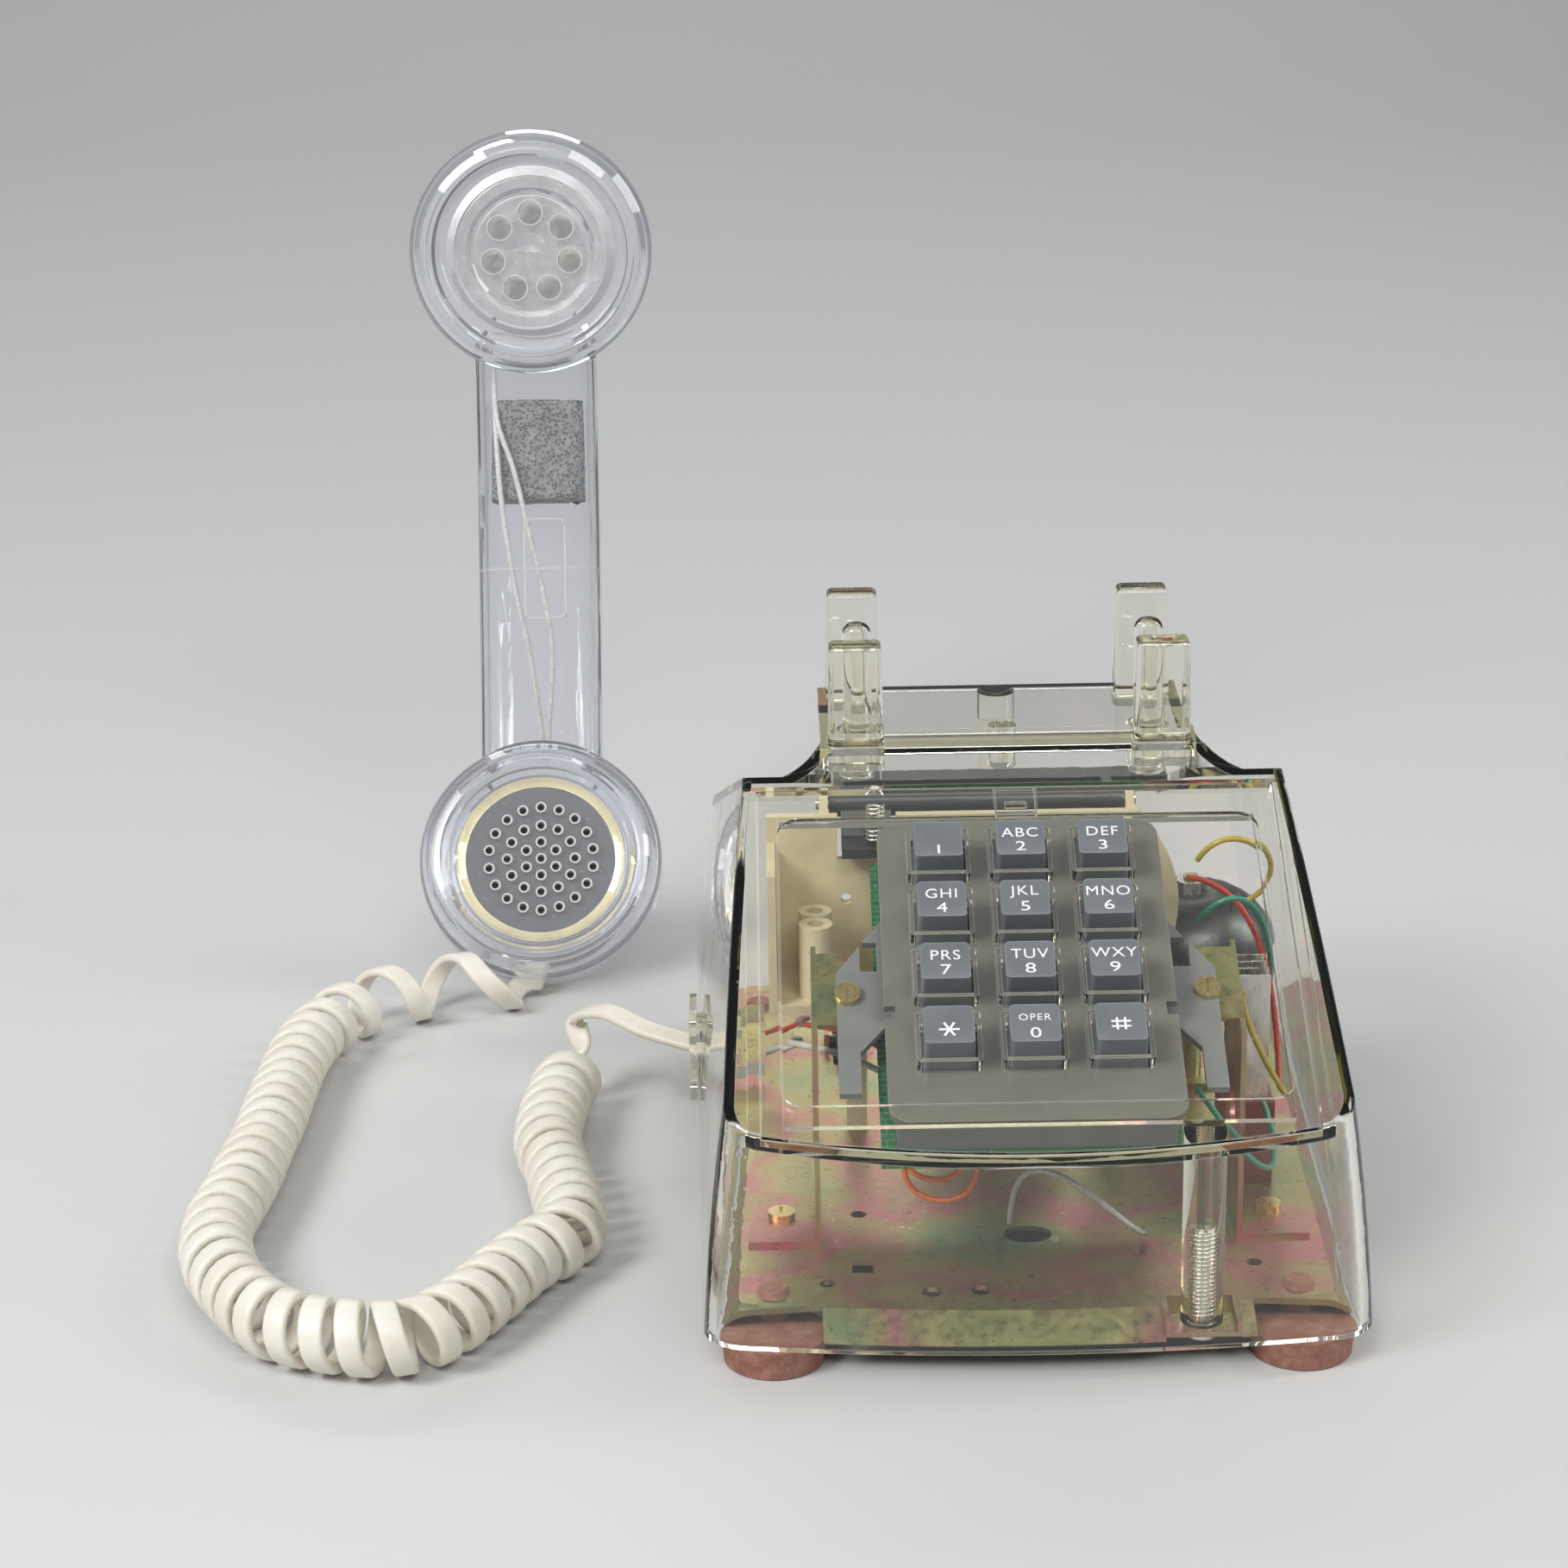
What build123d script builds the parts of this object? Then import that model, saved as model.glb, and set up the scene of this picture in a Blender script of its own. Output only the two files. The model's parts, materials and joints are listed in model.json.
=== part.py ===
"""A see-through push-button desk telephone, with its handset off the hook and standing beside it."""

import os
from math import cos, radians, sin, tan

from build123d import *

os.makedirs("parts", exist_ok=True)

# ---------------------------------------------------------------- driving dimensions, millimetres
# The floor is z = 0. The row's origin is the middle of the whole set's footprint; BASE_X and BASE_Y
# place the front edge of the desk set in it. All other positions are counted from that front edge.
BASE_X, BASE_Y = 59.8, -163.5

WALL = 2.6                     # clear plastic wall of the housing
CORNER = 10.0                  # plan radius of the housing's four corners
HOUSING_BOTTOM = 7.0
# height, front y, forward bow, half width at the front, half width at the rear, rear y
HOUSING_PLAN = (
    (HOUSING_BOTTOM, 0.0, 6.0, 74.5, 79.0, 205.0),
    (58.0, 2.5, 7.0, 69.5, 75.5, 193.0),
    (110.0, 8.0, 6.0, 60.0, 65.0, 178.0),
)
SLOPE = 25.35                  # degrees, keypad panel above the horizontal
PANEL_Y, PANEL_Z = 56.8, 80.8  # middle of the keypad panel
DECK = 107.5                   # flat shelf in front of the cradle
CHANNEL = 103.5                # cradle floor that the handset's handle crosses

CRADLE_Y = 149.0               # middle of the cradle
PEDESTAL = 45.5                # half width of the pedestal that carries the cradle
# the shoulders beside the pedestal fall away to the back: y and z of the top, and the slope
SHOULDER_Y, SHOULDER_Z, SHOULDER_FALL = 106.0, 105.5, 23.0
PRONG_X, PRONG_Y = 37.0, 24.5  # each prong's distance from the cradle's middle
REAR_PRONG_X = 36.6
PRONG_TOP, PRONG_FOOT = 132.5, 100.0
REAR_PRONG_DROP = 1.6          # the rear pair stands this much lower
PLUNGER_R = 3.5
PLUNGER_X = 36.0
PLUNGER_TOP = 130.0
PLUNGER_TRAVEL = 9.0
PLUNGER_END = 88.0
GUIDE_BOTTOM = 90.0

FACE_W = 122.0                 # clear faceplate, across
FACE_TOP = 51.1                # its upper edge, up the slope from the panel's middle
FACE_LOW_SIDE, FACE_LOW_MID = -54.4, -60.3
FACE_T = 3.0                   # thickness at its border
WINDOW_DROP = 1.2              # the window lies this much under the border
WINDOW_H, WINDOW_MID = 93.5, -3.75  # opening under the faceplate, up the slope
KEY_PITCH = 19.05
KEY_TOP = 6.0                  # key tops above the faceplate's border
KEY_HOLE = (12.6, 12.5)
RIM_W, RIM_TOP = 1.0, 2.2       # raised rim of the faceplate round each key
KEY_BASE = (11.9, 11.7)
KEY_CROWN = (11.2, 10.9)
KEY_SHIFT = 0.35               # the crown sits this much further up the slope than the key's base
KEY_DISH_R, KEY_DISH = 22.0, 0.7  # hollow across each key top: radius and depth
KEY_SKIRT = -4.5               # level where a key meets its retaining skirt
BEZEL_W, BEZEL_TOP, BEZEL_LOW = 66.0, 42.5, -49.5
BEZEL_LEVEL, BEZEL_T = -3.4, 1.9
FRAME_W, FRAME_TOP, FRAME_LOW = 62.0, 41.0, -47.0
FRAME_BACK = -17.0
WING_LEVEL = -10.0
WING_T = 1.8

PLATE_TOP, PLATE_T = 12.0, 1.2  # steel base plate
PLATE_SKIRT = 7.8              # bottom of the plate's turned-down edge
POST_SEAT = 8.3                # floor of the plate's pocket under the front screw post
FOOT_R, FOOT_H = 12.0, 6.8
# x, y and the y of the stud of each rubber foot
FEET = ((-59.0, 15.0, 23.0), (59.0, 15.0, 23.0), (-62.0, 186.0, 183.0), (62.0, 186.0, 183.0))
POSTS = ((36.0, 11.5, 9.5), (0.0, 176.0, PLATE_TOP))  # x, y, bottom of each housing screw post
POST_R, SCREW_R = 4.75, 1.75
SCREW_TOP = 32.0

GONG_Y, GONG_R, GONG_RIM = 134.0, 21.0, 50.0
GONG_X = (-4.0, 46.0)
GONG_SEAT = GONG_RIM + 11.5    # shoulder the gongs rest on
CLAPPER_X = sum(GONG_X) / 2
COIL_Y, COIL_Z = 158.0, 28.0   # ringer coil's middle
WHEEL_X, WHEEL_Y, WHEEL_R = -40.0, 158.0, 10.0

PIVOT_Y, PIVOT_Z = 116.0, 93.0  # hook lever's pin
LEVER_X = -43.8                # left end of the lever's sleeve
LEVER_ARM_X = -42.2            # outer side of its left arm, clear of the pedestal's wall
SHELF_Z = 52.5                 # underside of the network housing
JACK_Y, JACK_Z = 133.0, 24.0    # handset jack in the left wall
LINE_JACK_X, LINE_JACK_Z = 40.0, 22.0

LEAN = 21.0                    # degrees, the standing handset leans back
CAP_TILT = 13.0                # degrees, each cap faces in towards the other
CAP_SPAN = 166.0               # between the middles of the two cap faces
CAP_R = 33.6
CAP_RISE = 16.0                # cap faces above the handle's inner side
HANDLE_W, HANDLE_T = 34.0, 26.0
HANDSET_REST = (-122.0, 278.1, 110.5)  # middle of the handle's inner side
SHELL = 2.4                    # handset wall

CORD_R = 9.0                   # outside radius of the coiled cord
CORD_CORE = 1.6                # radius of the cord itself
# middle line of the cord on the floor, from the handset's end round to the base's end
CORD_LINE = ((-149, 206), (-162, 204), (-174, 193), (-182, 170), (-184, 142), (-186, 104), (-190, 64),
             (-181, 28), (-161, 13), (-141, 10), (-125, 30), (-107, 58), (-112, 92), (-114, 126), (-109, 158))


# ---------------------------------------------------------------- places
def at(x, y, z, x_dir=(1, 0, 0), z_dir=(0, 0, 1)):
    """A work plane at a point of the desk set."""
    return Plane(origin=(BASE_X + x, BASE_Y + y, z), x_dir=x_dir, z_dir=z_dir)


def side(x):
    """The upright plane whose sketches are (y, z), facing +X."""
    return at(x, 0, 0, x_dir=(0, 1, 0), z_dir=(1, 0, 0))


def spot(x, y, z):
    """A point of the desk set in the row's frame."""
    return (BASE_X + x, BASE_Y + y, z)


S, C = sin(radians(SLOPE)), cos(radians(SLOPE))
PANEL = at(0, PANEL_Y, PANEL_Z, z_dir=(0, -S, C))


def panel_height(y):
    """Height of the keypad panel at a distance from the front edge."""
    return PANEL_Z + (y - PANEL_Y) * tan(radians(SLOPE))


LEAN_S, LEAN_C = sin(radians(LEAN)), cos(radians(LEAN))
HANDSET = at(*HANDSET_REST, z_dir=(0, -LEAN_C, LEAN_S))


def handset_end(sign):
    """The face plane of the receiver cap (+1) or the transmitter cap (-1)."""
    tilt = radians(CAP_TILT)
    middle = HANDSET.from_local_coords(Vector(0, sign * CAP_SPAN / 2, CAP_RISE))
    out = HANDSET.from_local_coords(Vector(0, -sign * sin(tilt), cos(tilt))) - HANDSET.origin
    return Plane(origin=middle, x_dir=(1, 0, 0), z_dir=out)


EAR, MOUTH = handset_end(1), handset_end(-1)


def lathe(plane):
    """The plane through a turned piece's axis: sketches are (radius, height)."""
    return Plane(origin=plane.origin, x_dir=plane.x_dir, z_dir=plane.x_dir.cross(plane.z_dir))


def turned(plane, *outline):
    """A solid turned round a plane's normal from a (radius, height) outline."""
    with BuildSketch(lathe(plane)) as profile:
        with BuildLine():
            Polyline(*outline, close=True)
        make_face()
    return revolve(profile.sketch, axis=Axis(plane.origin, plane.z_dir), mode=Mode.PRIVATE)


def wire(radius, *points):
    """A round wire along a smooth line through the points."""
    line = Spline(*points, mode=Mode.PRIVATE)
    start = Plane(origin=line @ 0, z_dir=line % 0)
    with BuildSketch(start) as section:
        Circle(radius)
    return sweep(section.sketch, path=line, mode=Mode.PRIVATE)


# ---------------------------------------------------------------- housing
def plan_face(height, front, bow, half_front, half_rear, rear, inset, front_inset):
    """One level of the housing's outline, drawn in by an inset."""
    left, right = -half_front + inset, half_front - inset
    with BuildSketch(at(0, 0, height)) as level:
        with BuildLine():
            corner_y = front + bow + front_inset
            ThreePointArc((left, corner_y), (0, front + front_inset), (right, corner_y))
            back = rear - inset
            Polyline((right, corner_y), (half_rear - inset, back), (inset - half_rear, back), (left, corner_y))
        make_face()
        fillet(level.vertices(), radius=max(CORNER - inset, 3.0))
    return level.sketch


def over_shoulders(inset):
    """The space over the two shoulders, beside the pedestal, grown by an inset."""
    fall = tan(radians(SHOULDER_FALL))
    top = SHOULDER_Z - inset / cos(radians(SHOULDER_FALL))
    with BuildPart() as space:
        for hand in (-1, 1):
            with BuildSketch(at(0, 0, 40)):
                with BuildLine():
                    wall_x = hand * (PEDESTAL - inset)
                    ThreePointArc((hand * (66 - inset), 104), (hand * (52 - inset), 111), (wall_x, 126))
                    Polyline((wall_x, 126), (wall_x, 230), (hand * 110, 230), (hand * 110, 104),
                             (hand * (66 - inset), 104))
                make_face()
            extrude(amount=100)
        with BuildSketch(side(0)):
            with BuildLine():
                Polyline((90, top + (SHOULDER_Y - 90) * fall), (230, top + (SHOULDER_Y - 230) * fall), (230, 145),
                         (90, 145), close=True)
            make_face()
        extrude(amount=120, both=True, mode=Mode.INTERSECT)
    return space.part


def housing_form(inset):
    """The space inside the housing's outer skin, drawn in by an inset."""
    drop = inset / C
    with BuildPart() as form:
        loft([plan_face(*level, inset, inset) for level in HOUSING_PLAN])
        with BuildSketch(side(0)):
            with BuildLine():
                Polyline(
                    (-10, 0), (-10, panel_height(-10) - drop), (104, panel_height(104) - drop),
                    (119 - inset / 4, DECK - inset), (134 - inset, DECK - inset),
                    (136 - inset, CHANNEL - inset), (230, CHANNEL - inset), (230, 0), close=True,
                )
            make_face()
        extrude(amount=100, both=True, mode=Mode.INTERSECT)
    return form.part


def face_outline(grow):
    """The faceplate's outline on the panel, grown all round."""
    half = FACE_W / 2 + grow
    with BuildSketch(PANEL) as outline:
        with BuildLine():
            ThreePointArc((-half, FACE_LOW_SIDE - grow), (0, FACE_LOW_MID - grow), (half, FACE_LOW_SIDE - grow))
            Polyline((half, FACE_LOW_SIDE - grow), (half, FACE_TOP + grow), (-half, FACE_TOP + grow),
                     (-half, FACE_LOW_SIDE - grow))
        make_face()
    return outline.sketch


# one of the four prongs that hold the handset in the cradle
with BuildPart() as prong:
    with BuildSketch():
        RectangleRounded(14, 9, 2)
    extrude(amount=PRONG_TOP - PRONG_FOOT, taper=1.2)
    fillet(prong.faces().sort_by(Axis.Z)[-1].edges(), radius=1.4)

# the hollow of the housing, less its panel border, screw posts and plunger guides
with BuildPart() as cavity:
    add(housing_form(WALL))
    add(over_shoulders(WALL), mode=Mode.SUBTRACT)
    with BuildSketch(PANEL.offset(-5.2)):
        with Locations((0, -3)):
            Rectangle(FACE_W + 6, 114)
        with Locations((0, WINDOW_MID)):
            Rectangle(FACE_W - 10, WINDOW_H, mode=Mode.SUBTRACT)
    extrude(amount=5, mode=Mode.SUBTRACT)
    for post_x, post_y, post_bottom in POSTS:
        with BuildSketch(at(post_x, post_y, post_bottom)):
            Circle(POST_R)
        extrude(amount=110, mode=Mode.SUBTRACT)
    with BuildSketch(at(0, CRADLE_Y, GUIDE_BOTTOM)):
        with Locations((-PLUNGER_X, 0), (PLUNGER_X, 0)):
            Circle(PLUNGER_R + 1.8)
        Circle(3.5)
    extrude(amount=20, mode=Mode.SUBTRACT)

housing_skin = housing_form(0)
rounded = housing_skin.edges().filter_by(lambda e: e.center().Z > 50)
housing_skin = housing_skin.fillet(2.0, rounded) - over_shoulders(0)

with BuildPart() as housing:
    add(housing_skin)
    add(cavity.part, mode=Mode.SUBTRACT)
    with Locations(*[at(x, CRADLE_Y - PRONG_Y, PRONG_FOOT) for x in (-PRONG_X, PRONG_X)]):
        add(prong.part)
    with BuildSketch(at(0, CRADLE_Y - PRONG_Y - 4, 0, z_dir=(0, -1, 0))):
        with Locations((-PRONG_X, PRONG_TOP - 3.6), (PRONG_X, PRONG_TOP - 3.6)):
            Circle(1.9)
    extrude(amount=1, mode=Mode.SUBTRACT)
    rear_foot = PRONG_FOOT - REAR_PRONG_DROP
    with Locations(*[at(x, CRADLE_Y + PRONG_Y, rear_foot) for x in (-REAR_PRONG_X, REAR_PRONG_X)]):
        add(prong.part)
    with BuildSketch(at(0, CRADLE_Y, 80)):
        with Locations((-PLUNGER_X, 0), (PLUNGER_X, 0)):
            Circle(PLUNGER_R + 0.06)
    extrude(amount=30, mode=Mode.SUBTRACT)
    seat = face_outline(0.2)
    extrude(seat.moved(Location(PANEL.z_dir * -(FACE_T + 0.05))), amount=12, mode=Mode.SUBTRACT)
    with BuildSketch(PANEL.offset(-7)):
        with Locations((0, WINDOW_MID)):
            Rectangle(FACE_W - 10, WINDOW_H)
    extrude(amount=8, mode=Mode.SUBTRACT)
    for post_x, post_y, post_bottom in POSTS:
        with BuildSketch(at(post_x, post_y, post_bottom)):
            Circle(SCREW_R + 0.06)
        extrude(amount=SCREW_TOP + 1 - post_bottom, mode=Mode.SUBTRACT)
    with BuildSketch(side(-90)):
        with Locations((JACK_Y, JACK_Z)):
            Rectangle(12.4, 14.4)
    extrude(amount=30, mode=Mode.SUBTRACT)
    with BuildSketch(at(LINE_JACK_X, 215, LINE_JACK_Z, z_dir=(0, 1, 0))):
        Rectangle(14.4, 12.4)
    extrude(amount=-30, mode=Mode.SUBTRACT)

# ---------------------------------------------------------------- faceplate and keypad
def on_panel(x, y, z):
    """A work plane parallel to the keypad panel, at a point counted from its middle."""
    return Plane(origin=PANEL.from_local_coords(Vector(x, y, z)), x_dir=(1, 0, 0), z_dir=PANEL.z_dir)


with BuildPart() as faceplate:
    extrude(face_outline(0).moved(Location(PANEL.z_dir * -FACE_T)), amount=FACE_T)
    side_edges = faceplate.edges().filter_by(lambda e: abs(e.center().X - BASE_X) > FACE_W / 2 - 0.1)
    fillet(side_edges.group_by(Axis.Z)[-1], radius=0.8)
    with BuildSketch(PANEL):
        with Locations((0, -2)):
            RectangleRounded(FACE_W - 9, 88, 5)
    extrude(amount=-WINDOW_DROP, mode=Mode.SUBTRACT)
    with BuildSketch(PANEL.offset(-WINDOW_DROP)):
        with GridLocations(KEY_PITCH, KEY_PITCH, 3, 4):
            RectangleRounded(KEY_HOLE[0] + 2 * RIM_W, KEY_HOLE[1] + 2 * RIM_W, 0.8)
    extrude(amount=WINDOW_DROP + RIM_TOP)
    with BuildSketch(PANEL.offset(RIM_TOP)):
        with GridLocations(KEY_PITCH, KEY_PITCH, 3, 4):
            Rectangle(*KEY_HOLE)
    extrude(amount=-FACE_T - RIM_TOP - 1, mode=Mode.SUBTRACT)
    with BuildSketch(PANEL):
        with Locations((0, FACE_TOP - 4)):
            Rectangle(10, 8.4)
    extrude(amount=-1.6, mode=Mode.SUBTRACT)

with BuildPart() as faceplate_latch:
    with BuildSketch(PANEL.offset(-1.5)):
        with Locations((0, FACE_TOP - 3.9)):
            Rectangle(9.4, 7.8)
    extrude(amount=1.4)
    with BuildSketch(PANEL):
        with Locations((0, FACE_TOP - 5.5)):
            Rectangle(5, 2)
    extrude(amount=-1, mode=Mode.SUBTRACT)

with BuildPart() as dial_bezel:
    with BuildSketch(PANEL.offset(BEZEL_LEVEL)):
        with Locations((0, (BEZEL_TOP + BEZEL_LOW) / 2)):
            RectangleRounded(BEZEL_W, BEZEL_TOP - BEZEL_LOW, 5)
        with GridLocations(KEY_PITCH, KEY_PITCH, 3, 4):
            Rectangle(KEY_HOLE[0] + 0.2, KEY_HOLE[1] + 0.2, mode=Mode.SUBTRACT)
        with Locations((-BEZEL_W / 2, -17), (BEZEL_W / 2, -17)):
            Rectangle(5, 4, mode=Mode.SUBTRACT)
    extrude(amount=-BEZEL_T)

frame_mid, frame_h = (FRAME_TOP + FRAME_LOW) / 2, FRAME_TOP - FRAME_LOW
with BuildPart() as dial_frame:
    with BuildSketch(PANEL.offset(FRAME_BACK)):
        with Locations((0, frame_mid)):
            Rectangle(FRAME_W, frame_h)
    extrude(amount=BEZEL_LEVEL - BEZEL_T - 0.1 - FRAME_BACK)
    for level, depth in ((-10.4, 6), (FRAME_BACK, 4.6)):
        with BuildSketch(PANEL.offset(level)):
            with Locations((0, frame_mid)):
                Rectangle(FRAME_W - 4, frame_h - 4)
        extrude(amount=depth, mode=Mode.SUBTRACT)
    with BuildSketch(PANEL.offset(-10.4)):
        with GridLocations(KEY_PITCH, KEY_PITCH, 3, 4):
            Rectangle(6.12, 6.12)
    extrude(amount=-2.2, mode=Mode.SUBTRACT)
    for hand in (-1, 1):
        with BuildSketch(PANEL.offset(WING_LEVEL)):
            with BuildLine():
                edge = FRAME_W / 2
                Polyline((hand * (edge - 1), 19), (hand * (edge + 2), 17), (hand * 43.5, 1), (hand * 43.5, -35),
                         (hand * 38.5, -35), (hand * 38.5, -23), (hand * (edge - 1), -12), close=True)
            make_face()
            with Locations((hand * 36, 6)):
                Rectangle(4, 9, mode=Mode.SUBTRACT)
            with Locations((hand * 41, -6)):
                Circle(1.5, mode=Mode.SUBTRACT)
        extrude(amount=-WING_T)

with BuildPart() as dial_board:
    with BuildSketch(PANEL.offset(FRAME_BACK - 0.1)):
        with Locations((-1, frame_mid)):
            Rectangle(FRAME_W + 5, frame_h + 3)
    extrude(amount=-1.6)

with BuildPart() as dial_contacts:
    with BuildSketch(PANEL.offset(FRAME_BACK - 0.1)):
        with GridLocations(KEY_PITCH, KEY_PITCH, 3, 4):
            Circle(3.5)
    extrude(amount=0.4)

KEYS = ("key_1", "key_2", "key_3", "key_4", "key_5", "key_6", "key_7", "key_8", "key_9",
        "key_star", "key_0", "key_hash")
key_pieces = {}
for index, key_name in enumerate(KEYS):
    key_x = (index % 3 - 1) * KEY_PITCH
    key_y = (1.5 - index // 3) * KEY_PITCH
    with BuildPart() as key:
        with BuildSketch(on_panel(key_x, key_y, KEY_SKIRT)):
            RectangleRounded(*KEY_BASE, 1.2)
        with BuildSketch(on_panel(key_x, key_y + KEY_SHIFT, KEY_TOP)):
            RectangleRounded(*KEY_CROWN, 1.2)
        loft()
        with Locations(on_panel(key_x, key_y + KEY_SHIFT, KEY_TOP + KEY_DISH_R - KEY_DISH)):
            Cylinder(KEY_DISH_R, 20, rotation=(0, 90, 0), mode=Mode.SUBTRACT)
        with BuildSketch(on_panel(key_x, key_y, KEY_SKIRT)):
            Rectangle(*KEY_BASE)
        extrude(amount=-1)
        with BuildSketch(on_panel(key_x, key_y, KEY_SKIRT - 1)):
            Rectangle(14.8, 15.4)
        extrude(amount=-1)
        with BuildSketch(on_panel(key_x, key_y, KEY_SKIRT - 2)):
            Rectangle(6, 6)
        extrude(amount=-7)
    key_pieces[key_name] = key


def bracket_web(y):
    """Height of the underside of the dial frame's wings, above a distance from the front edge."""
    return panel_height(y) + (WING_LEVEL - WING_T) / C


dial_brackets = {}
for hand, bracket_name in ((-1, "dial_bracket_left"), (1, "dial_bracket_right")):
    with BuildPart() as bracket:
        with BuildSketch(side(hand * 48)):
            with BuildLine():
                Polyline((46, PLATE_TOP), (72, PLATE_TOP), (72, bracket_web(72)), (46, bracket_web(46)),
                         close=True)
            make_face()
            with Locations((59, 38)):
                Circle(4.5, mode=Mode.SUBTRACT)
        extrude(amount=hand * 1.2)
        with BuildSketch(at(hand * 56.5, 59, PLATE_TOP)):
            Rectangle(17, 26)
        extrude(amount=1.2)
        with BuildSketch(PANEL.offset(WING_LEVEL - WING_T)):
            with Locations((hand * 43.6, -2)):
                Rectangle(11.2, 22)
        extrude(amount=-1.2)
        with Locations(on_panel(hand * 41, -6, WING_LEVEL - WING_T)):
            Hole(1.4, depth=3)
        with Locations(at(hand * 57, 59, PLATE_TOP + 1.2)):
            Hole(1.6, depth=3)
    dial_brackets[bracket_name] = bracket

with BuildPart() as dial_screws:
    for hand in (-1, 1):
        wing_seat = on_panel(hand * 41, -6, WING_LEVEL)
        plate_seat = at(hand * 57, 59, PLATE_TOP + 1.2)
        for seat_plane, reach in ((wing_seat, 5), (plate_seat, 4.5)):
            with BuildSketch(seat_plane):
                Circle(3)
                Rectangle(0.8, 4.6, mode=Mode.SUBTRACT)
            extrude(amount=1.6)
            with BuildSketch(seat_plane):
                Circle(3)
            extrude(amount=0.6)
            with BuildSketch(seat_plane):
                Circle(1.35)
            extrude(amount=-reach)

# ---------------------------------------------------------------- base plate and feet
with BuildPart() as base_plate:
    outside = (0, PLATE_SKIRT, PLATE_TOP)
    inside = (PLATE_T, PLATE_SKIRT - 0.3, PLATE_TOP - PLATE_T)
    for grow, level_low, level_top in (outside, inside):
        lower = plan_face(level_low, *HOUSING_PLAN[0][1:], WALL + 1.0 + grow, WALL + 1.0 + grow)
        upper = plan_face(level_top, *HOUSING_PLAN[0][1:], WALL + 5.0 + grow, WALL + 10.0 + grow)
        loft([lower, upper], ruled=True, mode=Mode.SUBTRACT if grow else Mode.ADD)
    with BuildSketch(at(0, 0, 0)):
        with Locations((36, 6)):
            Rectangle(17, 26)
        with Locations((61, 8), (-61, 8)):
            Rectangle(26, 17)
    extrude(amount=20, mode=Mode.SUBTRACT)
    with BuildSketch(at(36, 12.5, POST_SEAT)):
        Rectangle(17, 14)
    extrude(amount=PLATE_TOP - POST_SEAT)
    with BuildSketch(at(36, 11.5, POST_SEAT + PLATE_T)):
        Rectangle(14.6, 13.6)
    extrude(amount=PLATE_TOP - POST_SEAT, mode=Mode.SUBTRACT)
    for foot_x, foot_y, stud_y in FEET:
        with Locations(at(foot_x, stud_y, PLATE_TOP)):
            Hole(2.6, depth=3)
    for post_x, post_y, post_bottom in POSTS:
        with Locations(at(post_x, post_y, post_bottom)):
            Hole(SCREW_R + 0.3, depth=3)
    with BuildSketch(at(0, 0, 0)):
        with Locations((0, 50)):
            Ellipse(5.6, 4.2)
        with Locations((-39, 62), (50.5, 34), (-46.7, 27)):
            Circle(1.8)
        with Locations((-38.6, 35)):
            Rectangle(5, 6)
        with Locations((-23.4, 22), (-12.3, 22.5)):
            Circle(2.3)
        with Locations((WHEEL_X, WHEEL_Y)):
            Rectangle(6, 23)
        with Locations((-57, 59), (57, 59)):
            Circle(1.6)
    extrude(amount=20, mode=Mode.SUBTRACT)
    for ear_x in (WHEEL_X - 5.2, WHEEL_X + 4):
        with BuildSketch(side(ear_x)):
            with Locations((WHEEL_Y, PLATE_TOP + 2)):
                Rectangle(8, 6.4)
            with Locations((WHEEL_Y, PLATE_TOP + 1.5)):
                Circle(1.56, mode=Mode.SUBTRACT)
        extrude(amount=1.2)

with BuildPart() as feet:
    for foot_x, foot_y, stud_y in FEET:
        with BuildSketch(at(foot_x, foot_y, 0)):
            Circle(FOOT_R - 0.6)
        with BuildSketch(at(foot_x, foot_y, FOOT_H)):
            Circle(FOOT_R)
        loft()
        with BuildSketch(at(foot_x, stud_y, FOOT_H)):
            Circle(3.9)
        extrude(amount=PLATE_TOP - PLATE_T - FOOT_H)
        with BuildSketch(at(foot_x, stud_y, PLATE_TOP - PLATE_T)):
            Circle(2.5)
        extrude(amount=PLATE_T)
        with BuildSketch(at(foot_x, stud_y, PLATE_TOP)):
            Circle(3.8)
        extrude(amount=1.6, taper=30)

with BuildPart() as housing_screws:
    for post_x, post_y, post_bottom in POSTS:
        under = post_bottom - PLATE_T
        with BuildSketch(at(post_x, post_y, under)):
            Circle(3.5)
        extrude(amount=-2.2)
        with BuildSketch(at(post_x, post_y, under - 2.2)):
            Rectangle(1, 5)
        extrude(amount=1, mode=Mode.SUBTRACT)
        with BuildSketch(at(post_x, post_y, under)):
            Circle(SCREW_R)
        extrude(amount=SCREW_TOP - under)

# ---------------------------------------------------------------- hook switch
plungers = {}
for hand, plunger_name in ((-1, "plunger_left"), (1, "plunger_right")):
    with BuildPart() as plunger:
        with BuildSketch(at(hand * PLUNGER_X, CRADLE_Y, PLUNGER_END)):
            Circle(PLUNGER_R)
        extrude(amount=PLUNGER_TOP - PLUNGER_END)
        fillet(plunger.faces().sort_by(Axis.Z)[-1].edges(), radius=2.6)
        with BuildSketch(at(hand * PLUNGER_X, CRADLE_Y, PLUNGER_END)):
            Circle(PLUNGER_R + 1)
        extrude(amount=1.6)
    plungers[plunger_name] = plunger

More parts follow.
